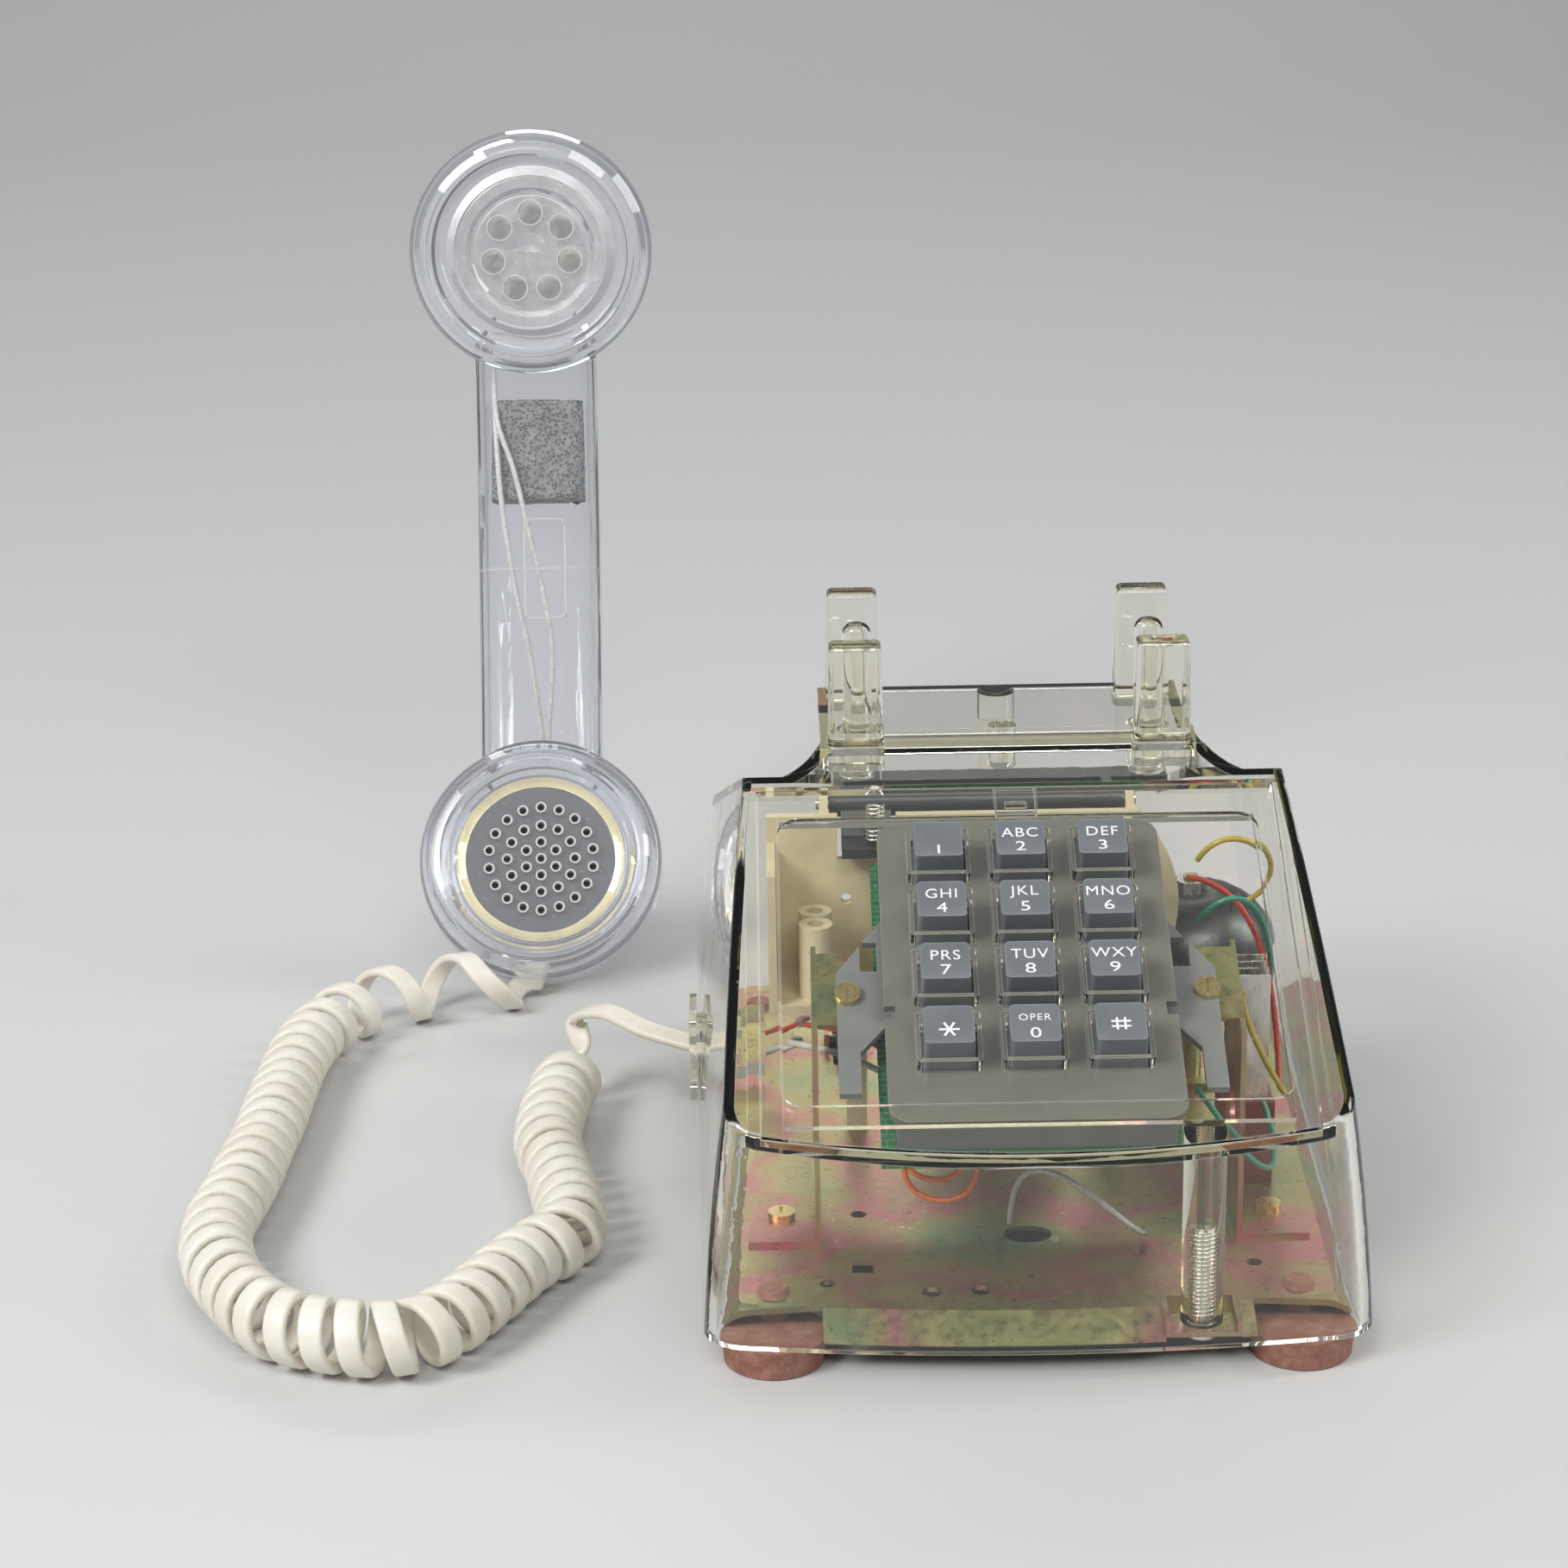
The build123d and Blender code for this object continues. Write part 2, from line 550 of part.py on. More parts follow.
with BuildPart() as network_housing:
    with BuildSketch(at(0, 109.5, 0, z_dir=(0, -1, 0))):
        with BuildLine():
            Polyline((30, 93), (-59, 93), (-59, SHELF_Z), (34, SHELF_Z))
            ThreePointArc((34, SHELF_Z), (39.5, 76), (30, 93))
        make_face()
        with Locations((-40, 73)):
            Circle(1.3, mode=Mode.SUBTRACT)
        with Locations((-35, 90)):
            Rectangle(14, 14, mode=Mode.SUBTRACT)
    extrude(amount=2.5)
    with BuildSketch(at(-46, 95.6, SHELF_Z)):
        Rectangle(26, 23)
    extrude(amount=2.5)
    with BuildSketch(at(-58, 95.6, SHELF_Z)):
        Rectangle(2, 23)
    extrude(amount=34)
    for post_y in (90, 98.5):
        with BuildSketch(at(-47.7, post_y, SHELF_Z + 2.5)):
            Circle(4)
            Circle(2, mode=Mode.SUBTRACT)
        extrude(amount=18.5)
    for leg_x in (-38, 22):
        with BuildSketch(at(leg_x, 107.25, PLATE_TOP)):
            Rectangle(5, 4.5)
        extrude(amount=SHELF_Z - PLATE_TOP)
    for ear_x in (-46.2, 27.2):
        with BuildSketch(side(ear_x)):
            with BuildLine():
                Polyline((109, 84), (109, 93), (112.5, 96.5), (118, 96), (119.5, 93.5), (119.5, 89.5), (114, 84),
                         close=True)
            make_face()
            with Locations((PIVOT_Y, PIVOT_Z)):
                Circle(1.5, mode=Mode.SUBTRACT)
        extrude(amount=2)

with BuildPart() as lever_pin:
    with BuildSketch(side(-47)):
        with Locations((PIVOT_Y, PIVOT_Z)):
            Circle(1.45)
    extrude(amount=77)

with BuildPart() as hook_lever:
    with BuildSketch(side(LEVER_X)):
        with Locations((PIVOT_Y, PIVOT_Z)):
            Circle(3.2)
    extrude(amount=70.6)
    for arm_x in (LEVER_ARM_X, 24.3):
        with BuildSketch(side(arm_x)):
            with BuildLine():
                Polyline((116, 96.1), (143, 87.4), (152.5, 87.4), (152.5, 84), (116, 89.9), close=True)
            make_face()
        extrude(amount=2.5)
    with BuildSketch(side(LEVER_ARM_X)):
        with BuildLine():
            Polyline((145.5, 87.4), (152.5, 87.4), (152.5, 84), (145.5, 84), close=True)
        make_face()
    extrude(amount=83.2)
    with BuildSketch(side(-41)):
        with BuildLine():
            Polyline((116, 96), (109.5, 88.2), (102.5, 87.4), (102.5, 84.9), (110, 85.6), (116, 90), close=True)
        make_face()
    extrude(amount=12)
    with BuildSketch(side(-45)):
        with Locations((PIVOT_Y, PIVOT_Z)):
            Circle(1.5)
    extrude(amount=74, mode=Mode.SUBTRACT)

SPRING_X, SPRING_Y, SPRING_R = -33.0, 104.4, 2.1
SPRING_LOW, SPRING_HIGH = 88.8, 96.6
with BuildPart() as hook_spring:
    coil = Helix(pitch=1.4, height=SPRING_HIGH - SPRING_LOW, radius=SPRING_R, mode=Mode.PRIVATE)
    with BuildSketch(Plane(origin=coil @ 0, z_dir=coil % 0)) as spring_section:
        Circle(0.35)
    sweep(spring_section.sketch.moved(Location(spot(SPRING_X, SPRING_Y, SPRING_LOW))),
          path=coil.moved(Location(spot(SPRING_X, SPRING_Y, SPRING_LOW))))

with BuildPart() as contact_block:
    with BuildSketch(at(54, 83, PLATE_TOP)):
        Rectangle(12, 18)
    extrude(amount=20)

with BuildPart() as contact_springs:
    with BuildSketch(side(49.5)):
        for blade in range(4):
            with Locations((76.5 + blade * 4.2, PLATE_TOP + 36)):
                Rectangle(0.5, 32)
    extrude(amount=9)

# ---------------------------------------------------------------- ringer
with BuildPart() as gongs:
    for gong_x in GONG_X:
        gong_plane = at(gong_x, GONG_Y, GONG_RIM)
        with BuildSketch(lathe(gong_plane)):
            with BuildLine():
                ThreePointArc((GONG_R, 0), (GONG_R - 3.6, 8.4), (3.4, 13))
                Polyline((3.4, 13), (2.1, 13), (2.1, 11.6), (3.4, 11.6))
                ThreePointArc((3.4, 11.6), (GONG_R - 4.7, 7.4), (GONG_R - 1.6, 0))
                Line((GONG_R - 1.6, 0), (GONG_R, 0))
            make_face()
        revolve(axis=Axis(gong_plane.origin, gong_plane.z_dir))

with BuildPart() as ringer_frame:
    with BuildSketch(at(CLAPPER_X, GONG_Y, PLATE_TOP)):
        RectangleRounded(72, 14, 3)
    extrude(amount=1.6)
    for gong_x in GONG_X:
        with BuildSketch(at(gong_x, GONG_Y, PLATE_TOP + 1.6)):
            Circle(3.5)
        extrude(amount=GONG_SEAT - PLATE_TOP - 1.6)
        with BuildSketch(at(gong_x, GONG_Y, GONG_SEAT)):
            Circle(1.95)
        extrude(amount=5.5)
    with BuildSketch(at(CLAPPER_X, 141, 0, z_dir=(0, -1, 0))):
        with Locations((0, PLATE_TOP + 7)):
            Rectangle(8, 12)
        with Locations((0, PLATE_TOP + 10)):
            Circle(1.05, mode=Mode.SUBTRACT)
    extrude(amount=2)

with BuildPart() as gong_nuts:
    for gong_x in GONG_X:
        with BuildSketch(at(gong_x, GONG_Y, GONG_SEAT + 1.6)):
            RegularPolygon(4, 6)
            Circle(2.0, mode=Mode.SUBTRACT)
        extrude(amount=3)

CLAPPER_Z = PLATE_TOP + 10
with BuildPart() as clapper:
    add(wire(0.9, spot(CLAPPER_X, 142.6, CLAPPER_Z), spot(CLAPPER_X, 142.6, CLAPPER_Z + 10),
             spot(CLAPPER_X, 138, CLAPPER_Z + 21), spot(CLAPPER_X, GONG_Y, CLAPPER_Z + 29)))
    with Locations(at(CLAPPER_X, GONG_Y, CLAPPER_Z + 29)):
        Sphere(2)
    with BuildSketch(at(CLAPPER_X, 144, CLAPPER_Z, z_dir=(0, -1, 0))):
        Circle(3)
    extrude(amount=2.8)
    with BuildSketch(at(CLAPPER_X, 144, CLAPPER_Z, z_dir=(0, -1, 0))):
        Circle(1)
    extrude(amount=6)

with BuildPart() as ringer_core:
    with BuildSketch(side(CLAPPER_X - 18)):
        with Locations((COIL_Y, COIL_Z)):
            Circle(4)
    extrude(amount=36)
    for pole_x in (CLAPPER_X - 18, CLAPPER_X + 15.5):
        with BuildSketch(side(pole_x)):
            with Locations((COIL_Y, COIL_Z - 2)):
                Rectangle(16, 28)
        extrude(amount=2.5)

with BuildPart() as ringer_coil:
    with BuildSketch(side(CLAPPER_X - 15)):
        with Locations((COIL_Y, COIL_Z)):
            Circle(10)
            Circle(4.05, mode=Mode.SUBTRACT)
    extrude(amount=30)

with BuildPart() as loudness_wheel:
    with BuildSketch(side(WHEEL_X - 2)):
        with Locations((WHEEL_Y, PLATE_TOP + 1.5)):
            Circle(WHEEL_R)
            with PolarLocations(WHEEL_R, 24):
                Circle(0.6, mode=Mode.SUBTRACT)
    extrude(amount=4)
    with BuildSketch(side(WHEEL_X - 5.2)):
        with Locations((WHEEL_Y, PLATE_TOP + 1.5)):
            Circle(1.5)
    extrude(amount=10.4)

# ---------------------------------------------------------------- jacks and wires
with BuildPart() as handset_jack:
    with BuildSketch(side(-79.2)):
        with Locations((JACK_Y, JACK_Z)):
            RectangleRounded(20, 22, 1.5)
    extrude(amount=1.8)
    with BuildSketch(side(-77.4)):
        with Locations((JACK_Y, JACK_Z)):
            Rectangle(12, 14)
    extrude(amount=17)
    with BuildSketch(side(-79.2)):
        with Locations((JACK_Y, JACK_Z)):
            Rectangle(8.2, 6.8)
    extrude(amount=13, mode=Mode.SUBTRACT)

with BuildPart() as cord_plug:
    with BuildSketch(side(-78)):
        with Locations((JACK_Y, JACK_Z)):
            Rectangle(8, 6.6)
    extrude(amount=11)

with BuildPart() as line_jack:
    rear_face = at(LINE_JACK_X, 203.6, LINE_JACK_Z, z_dir=(0, 1, 0))
    with BuildSketch(rear_face):
        RectangleRounded(22, 17, 1.5)
    extrude(amount=1.8)
    with BuildSketch(rear_face):
        Rectangle(14, 12)
    extrude(amount=-17)
    with BuildSketch(rear_face.offset(1.8)):
        Rectangle(9.6, 6.8)
        with Locations((0, -3)):
            Rectangle(4, 3)
    extrude(amount=-13, mode=Mode.SUBTRACT)

WIRES = {
    "wires_red": (((-60, 133, 26), (-50, 112, 40), (-52, 92, 47), (-40, 74, 52), (-28, 70, 46)),
                  ((62, 82, 34), (60, 96, 58), (50, 100, 76), (41, 99, 80))),
    "wires_white": (((-60, 130, 22), (-52, 108, 36), (-54, 90, 43), (-42, 71, 48), (-28, 66, 42)),
                    ((-4, 52, 14), (6, 44, 30), (20, 38, 22), (27, 46, 14))),
    "wires_green": (((38, 44, 50), (44, 40, 42), (54, 46, 30), (56, 66, 36)),
                    ((43, 92, 72), (52, 90, 78), (60, 96, 66), (58, 104, 40))),
    "wires_yellow": (((43.5, 100, 84), (52, 98, 90), (60, 102, 84), (56, 108, 70)),
                     ((50, 62, 66), (54, 64, 52), (61, 68, 38), (62, 78, 34))),
    "wires_orange": (((-27, 34, 44), (-25, 30, 32), (-19, 30, 31), (-15, 34, 44)),
                     ((-29, 38, 44), (-27, 36, 35), (-21, 34, 34), (-17, 40, 46))),
}
wire_groups = {}
for group_name, runs in WIRES.items():
    with BuildPart() as group:
        for run in runs:
            add(wire(0.7, *[spot(*point) for point in run]))
    wire_groups[group_name] = group

# ---------------------------------------------------------------- handset
HANDLE_SIDE = Plane(origin=HANDSET.origin, x_dir=HANDSET.y_dir, z_dir=HANDSET.x_dir)
HANDLE_REACH = 66.0


def handle_form(inset):
    """The arched handle, drawn in by an inset: its section is a rounded rectangle."""
    with BuildPart() as form:
        with BuildSketch(HANDLE_SIDE):
            with BuildLine():
                ThreePointArc((-HANDLE_REACH, 5 - inset), (0, -inset), (HANDLE_REACH, 5 - inset))
                Line((HANDLE_REACH, 5 - inset), (HANDLE_REACH, inset - 18))
                ThreePointArc((HANDLE_REACH, inset - 18), (0, inset - HANDLE_T), (-HANDLE_REACH, inset - 18))
                Line((-HANDLE_REACH, inset - 18), (-HANDLE_REACH, 5 - inset))
            make_face()
        extrude(amount=HANDLE_W / 2 - inset, both=True)
        fillet(form.edges().filter_by(GeomType.CIRCLE), radius=8 - inset)
    return form.part


def bowl_form(plane, inset):
    """The round bowl behind one cap."""
    with BuildPart() as form:
        with BuildSketch(lathe(plane)) as profile:
            with BuildLine():
                rim = 31.1 - inset
                wide = 32.8 - inset
                top = 0 if inset else -8
                Polyline((0, top), (rim, top), (rim, -14.4), (wide, -14.4))
                ThreePointArc((wide, -14.4), (29.5 - inset * 0.8, -25.5 + inset * 0.5), (15, -32.6 + inset))
                Polyline((15, -32.6 + inset), (0, -33.6 + inset), (0, top))
            make_face()
        revolve(axis=Axis(plane.origin, plane.z_dir))
    return form.part


GROMMET_T = -17.5              # the cord leaves the bowl this far behind the mouthpiece's face
GROMMET_FROM, GROMMET_TO, GROMMET_R = 27.0, 32.3, 3.0
grommet_out = -MOUTH.y_dir
grommet_middle = MOUTH.origin + MOUTH.z_dir * GROMMET_T + grommet_out * GROMMET_FROM
grommet_plane = Plane(origin=grommet_middle, z_dir=grommet_out)

# a fine groove where the two halves of the handle meet
with BuildPart() as seam:
    add(handle_form(0))
    add(handle_form(0.3), mode=Mode.SUBTRACT)
    seam_middle = HANDSET.from_local_coords(Vector(0, -3, -HANDLE_T / 2))
    with BuildSketch(Plane(origin=seam_middle, x_dir=(1, 0, 0), z_dir=HANDSET.y_dir)):
        Rectangle(60, 60)
    extrude(amount=0.5, mode=Mode.INTERSECT)

with BuildPart() as handset_shell:
    add(handle_form(0))
    for end in (EAR, MOUTH):
        add(turned(end, (0, -14.3), (CAP_R + 0.3, -14.3), (CAP_R + 0.3, 12), (0, 12)), mode=Mode.SUBTRACT)
        add(bowl_form(end, 0))
    add(handle_form(SHELL), mode=Mode.SUBTRACT)
    for end in (EAR, MOUTH):
        add(bowl_form(end, SHELL), mode=Mode.SUBTRACT)
    with BuildSketch(grommet_plane):
        Circle(GROMMET_R + 0.06)
    extrude(amount=10, mode=Mode.SUBTRACT)
    with BuildSketch(HANDSET.offset(-1)):
        with Locations((2, -3)):
            RectangleRounded(11.6, 28, 2)
            RectangleRounded(10.8, 27.2, 1.6, mode=Mode.SUBTRACT)
    extrude(amount=1.45)
    add(seam.part, mode=Mode.SUBTRACT)

with BuildPart() as receiver_cap:
    add(turned(EAR, (CAP_R, -14.2), (CAP_R, -5.4), (CAP_R - 0.9, -2.8), (CAP_R - 3, -0.9), (28.4, 0),
               (27.2, -0.3), (26.2, -1.7), (24.8, -2.6), (21.2, -2.8), (20.6, -3.5), (16.4, -3.8),
               (15.4, -4.8), (0, -5.2), (0, -7.4), (16.6, -6.8), (18, -5.6), (25, -4.9), (28.6, -2.9),
               (30, -3.2), (31.2, -5.4), (31.2, -14.2)))
    with BuildSketch(EAR):
        with PolarLocations(10.9, 7, start_angle=90):
            Circle(3.3)
    extrude(amount=-12, mode=Mode.SUBTRACT)
    with BuildSketch(EAR.offset(-5.2)):
        with PolarLocations(4.4, 8):
            Circle(0.7)
    extrude(amount=0.6)

with BuildPart() as transmitter_cap:
    add(turned(MOUTH, (CAP_R, -14.2), (CAP_R, -6.2), (CAP_R - 1.2, -3.2), (CAP_R - 3.2, -1.2), (29, 0),
               (27.4, -0.2), (25.2, -1.4), (23.8, -3.6), (22.6, -4.8), (20.8, -5.2), (0, -5.2), (0, -7),
               (22.8, -7), (25, -5.6), (27.4, -2.8), (29.4, -2.6), (31.2, -6.2), (31.2, -14.2)))
    with BuildSketch(MOUTH):
        Circle(1.05)
        for ring_r, ring_n in ((4.7, 6), (9.4, 12), (14.6, 18)):
            with PolarLocations(ring_r, ring_n, start_angle=90):
                Circle(1.05)
    extrude(amount=-12, mode=Mode.SUBTRACT)

with BuildPart() as receiver_unit:
    add(turned(EAR, (0, -8.4), (21, -8.4), (23.5, -9.4), (23.5, -12.5), (20.5, -13.6), (19, -22), (0, -22)))

with BuildPart() as transmitter_unit:
    add(turned(MOUTH, (0, -8), (20.6, -8), (20.6, -10.2), (19, -11), (16, -20), (0, -20)))

with BuildPart() as transmitter_ring:
    add(turned(MOUTH, (20.8, -7.4), (24.2, -7.4), (24.2, -10), (20.8, -10)))

with BuildPart() as transmitter_cup:
    add(turned(MOUTH, (24.4, -8), (28.2, -8), (28.2, -11), (26.4, -12), (25, -23.6), (9, -23.6), (9, -22),
               (23.4, -22), (24.4, -11)))

with BuildPart() as handset_foam:
    foam_middle = HANDSET.from_local_coords(Vector(0, 42, -12))
    with BuildSketch(Plane(origin=foam_middle, x_dir=(1, 0, 0), z_dir=HANDSET.y_dir)):
        RectangleRounded(25, 12, 4)
    extrude(amount=13, both=True)

with BuildPart() as handset_wires:
    for lateral, bow in ((-3, 6), (4, -2)):
        run = ((lateral - 6, 45, -4.6), (lateral - 5, 38, -4.2), (lateral, 10, -3.9),
               (lateral + bow / 2, -28, -4.2), (lateral, -51, -8))
        add(wire(0.75, *[HANDSET.from_local_coords(Vector(*point)) for point in run]))

with BuildPart() as cord_grommet:
    with BuildSketch(grommet_plane):
        Circle(GROMMET_R)
    extrude(amount=GROMMET_TO - GROMMET_FROM)

# ---------------------------------------------------------------- cord
with BuildPart() as coil_cord:
    add(wire(CORD_R, *[spot(x, y, CORD_R + 0.1) for x, y in CORD_LINE]))

with BuildPart() as cord_tail:
    add(wire(CORD_CORE, spot(-111, 172, 6), spot(-108, 168, 14), spot(-102, 154, 22), spot(-90, 141, 25),
             spot(-79.5, JACK_Y, JACK_Z)))

PIECES = {
    "housing": housing, "faceplate": faceplate, "faceplate_latch": faceplate_latch,
    "dial_bezel": dial_bezel, "dial_frame": dial_frame, "dial_board": dial_board,
    "dial_contacts": dial_contacts, **key_pieces, **dial_brackets, "dial_screws": dial_screws,
    "base_plate": base_plate, "feet": feet, "housing_screws": housing_screws,
    **plungers, "network_housing": network_housing, "lever_pin": lever_pin, "hook_lever": hook_lever,
    "hook_spring": hook_spring, "contact_block": contact_block, "contact_springs": contact_springs,
    "gongs": gongs, "gong_nuts": gong_nuts, "ringer_frame": ringer_frame, "ringer_core": ringer_core,
    "ringer_coil": ringer_coil, "clapper": clapper, "loudness_wheel": loudness_wheel,
    "handset_jack": handset_jack, "line_jack": line_jack, "cord_plug": cord_plug, **wire_groups,
    "handset_shell": handset_shell, "receiver_cap": receiver_cap, "transmitter_cap": transmitter_cap,
    "receiver_unit": receiver_unit, "transmitter_unit": transmitter_unit, "transmitter_ring": transmitter_ring,
    "transmitter_cup": transmitter_cup, "handset_foam": handset_foam, "handset_wires": handset_wires,
    "cord_grommet": cord_grommet, "coil_cord": coil_cord, "cord_tail": cord_tail,
}
for name, piece in PIECES.items():
    piece.part.label = name
    export_step(piece.part, f"parts/{name}.step")
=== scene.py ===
"""Looks for the see-through push-button telephone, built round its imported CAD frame."""

import math

import bmesh
import bpy
from mathutils import Matrix, Vector, noise
from mathutils.bvhtree import BVHTree
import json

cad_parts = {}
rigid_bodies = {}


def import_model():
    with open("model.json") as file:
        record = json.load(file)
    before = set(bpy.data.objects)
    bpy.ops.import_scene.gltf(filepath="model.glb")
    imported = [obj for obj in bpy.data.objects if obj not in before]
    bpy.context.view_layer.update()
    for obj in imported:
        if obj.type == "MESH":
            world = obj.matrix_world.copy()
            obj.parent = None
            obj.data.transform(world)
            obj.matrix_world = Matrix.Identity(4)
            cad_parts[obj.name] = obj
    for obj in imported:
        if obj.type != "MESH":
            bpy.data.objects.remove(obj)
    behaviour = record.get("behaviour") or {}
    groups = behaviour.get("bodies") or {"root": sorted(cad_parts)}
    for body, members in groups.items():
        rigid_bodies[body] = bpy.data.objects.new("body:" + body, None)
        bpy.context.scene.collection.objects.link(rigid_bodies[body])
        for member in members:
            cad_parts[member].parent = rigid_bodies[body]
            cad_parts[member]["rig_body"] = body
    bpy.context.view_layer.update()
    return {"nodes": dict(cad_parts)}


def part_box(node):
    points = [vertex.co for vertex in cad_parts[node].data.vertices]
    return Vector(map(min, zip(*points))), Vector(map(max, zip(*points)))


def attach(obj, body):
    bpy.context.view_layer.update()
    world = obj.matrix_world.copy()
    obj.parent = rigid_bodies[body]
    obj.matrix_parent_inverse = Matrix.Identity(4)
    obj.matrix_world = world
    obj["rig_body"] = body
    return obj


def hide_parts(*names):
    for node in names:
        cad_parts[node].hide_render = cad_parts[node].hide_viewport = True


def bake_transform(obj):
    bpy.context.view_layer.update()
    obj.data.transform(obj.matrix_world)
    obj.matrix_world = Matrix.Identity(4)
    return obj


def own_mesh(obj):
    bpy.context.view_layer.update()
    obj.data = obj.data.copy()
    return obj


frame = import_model()

MM = 0.001
NODES = frame["nodes"]
PANEL_SLOPE = math.radians(25.35)
PANEL_UP = Vector((0, math.cos(PANEL_SLOPE), math.sin(PANEL_SLOPE)))
PANEL_OUT = Vector((0, -math.sin(PANEL_SLOPE), math.cos(PANEL_SLOPE)))
ACROSS = Vector((1, 0, 0))
housing_low, housing_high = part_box("housing")
# HOME: the floor under the middle of the desk set's front edge
HOME = Vector(((housing_low.x + housing_high.x) / 2, housing_low.y, 0))


# ---------------------------------------------------------------- places
def middle(node):
    """The middle of a CAD node's box."""
    low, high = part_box(node)
    return (low + high) / 2


def body_of(node):
    """The name of the CAD body that carries a node."""
    return NODES[node]["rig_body"]


# ---------------------------------------------------------------- materials
class Shader:
    """A node material on one Principled surface, patterned in the object's own metres."""

    def __init__(self, name, color, roughness=0.5, **values):
        self.material = bpy.data.materials.new(name)
        self.material.use_nodes = True
        self.tree = self.material.node_tree
        self.surface = self.tree.nodes["Principled BSDF"]
        self.output = self.tree.nodes["Material Output"]
        self.place = self.tree.nodes.new("ShaderNodeTexCoord").outputs["Object"]
        self.set("Base Color", color)
        self.set("Roughness", roughness)
        for key, value in values.items():
            self.set(key.replace("_", " "), value)
        self.material.diffuse_color = (*color[:3], 1)

    def set(self, key, value):
        """Gives the surface a value, a colour or another node's output."""
        socket = self.surface.inputs[key]
        if isinstance(value, bpy.types.NodeSocket):
            self.tree.links.new(value, socket)
        elif hasattr(value, "__len__") and len(value) == 3:
            socket.default_value = (*value, 1)
        else:
            socket.default_value = value

    def node(self, kind, inputs=None, **settings):
        """A new node with its inputs set by name or number, and its settings."""
        made = self.tree.nodes.new(kind)
        for key, value in settings.items():
            setattr(made, key, value)
        for key, value in (inputs or {}).items():
            if isinstance(value, bpy.types.NodeSocket):
                self.tree.links.new(value, made.inputs[key])
            else:
                made.inputs[key].default_value = value
        return made

    def noise(self, size, detail=4, roughness=0.55, stretch=None):
        """Cloudy noise with features of about size metres."""
        place = self.place
        if stretch:
            place = self.node("ShaderNodeMapping", {"Vector": place, "Scale": stretch}).outputs["Vector"]
        inputs = {"Vector": place, "Scale": 1 / size, "Detail": detail, "Roughness": roughness}
        return self.node("ShaderNodeTexNoise", inputs).outputs["Fac"]

    def cells(self, size):
        """Distance to scattered cell middles, size metres apart."""
        inputs = {"Vector": self.place, "Scale": 1 / size}
        return self.node("ShaderNodeTexVoronoi", inputs).outputs["Distance"]

    def bands(self, size, axis):
        """Straight waves, one every size metres along an axis."""
        inputs = {"Vector": self.place, "Scale": math.pi / 10 / size, "Distortion": 0.0}
        return self.node("ShaderNodeTexWave", inputs, bands_direction=axis).outputs["Fac"]

    def span(self, value, low, high, to_low=0.0, to_high=1.0):
        """A value mapped from one range to another, clamped."""
        inputs = {"Value": value, "From Min": low, "From Max": high, "To Min": to_low, "To Max": to_high}
        return self.node("ShaderNodeMapRange", inputs).outputs["Result"]

    def mix(self, share, first, second):
        """Two colours mixed by a share."""
        made = self.node("ShaderNodeMix", data_type="RGBA")
        for socket, value in ((made.inputs[0], share), (made.inputs[6], first), (made.inputs[7], second)):
            if isinstance(value, bpy.types.NodeSocket):
                self.tree.links.new(value, socket)
            elif isinstance(value, float):
                socket.default_value = value
            else:
                socket.default_value = (*value, 1)
        return made.outputs[2]

    def edge(self, width, share):
        """How near a point is to a corner, found by a bevel: share at the corner, 0 away from it."""
        bevel = self.node("ShaderNodeBevel", {"Radius": width}, samples=3)
        geometry = self.node("ShaderNodeNewGeometry")
        inputs = {0: bevel.outputs["Normal"], 1: geometry.outputs["Normal"]}
        dot = self.node("ShaderNodeVectorMath", inputs, operation="DOT_PRODUCT").outputs["Value"]
        return self.span(dot, 0.98, 0.8, 0.0, share)

    def edge_wear_and_highlight(self, edge_color, share=0.5, width=0.0006):
        """Edges given another colour: rubbed wear, and on the keys a painted highlight along their edges."""
        edge = self.edge(width, share)
        base = self.surface.inputs["Base Color"]
        first = base.links[0].from_socket if base.links else base.default_value[:3]
        self.set("Base Color", self.mix(edge, first, edge_color))
        return self

    def bump(self, height, distance, strength=1.0):
        """Relief of a real depth in metres, added to any relief there already is."""
        inputs = {"Height": height, "Distance": distance, "Strength": strength}
        normal = self.surface.inputs["Normal"]
        if normal.links:
            inputs["Normal"] = normal.links[0].from_socket
        self.set("Normal", self.node("ShaderNodeBump", inputs).outputs["Normal"])
        return self


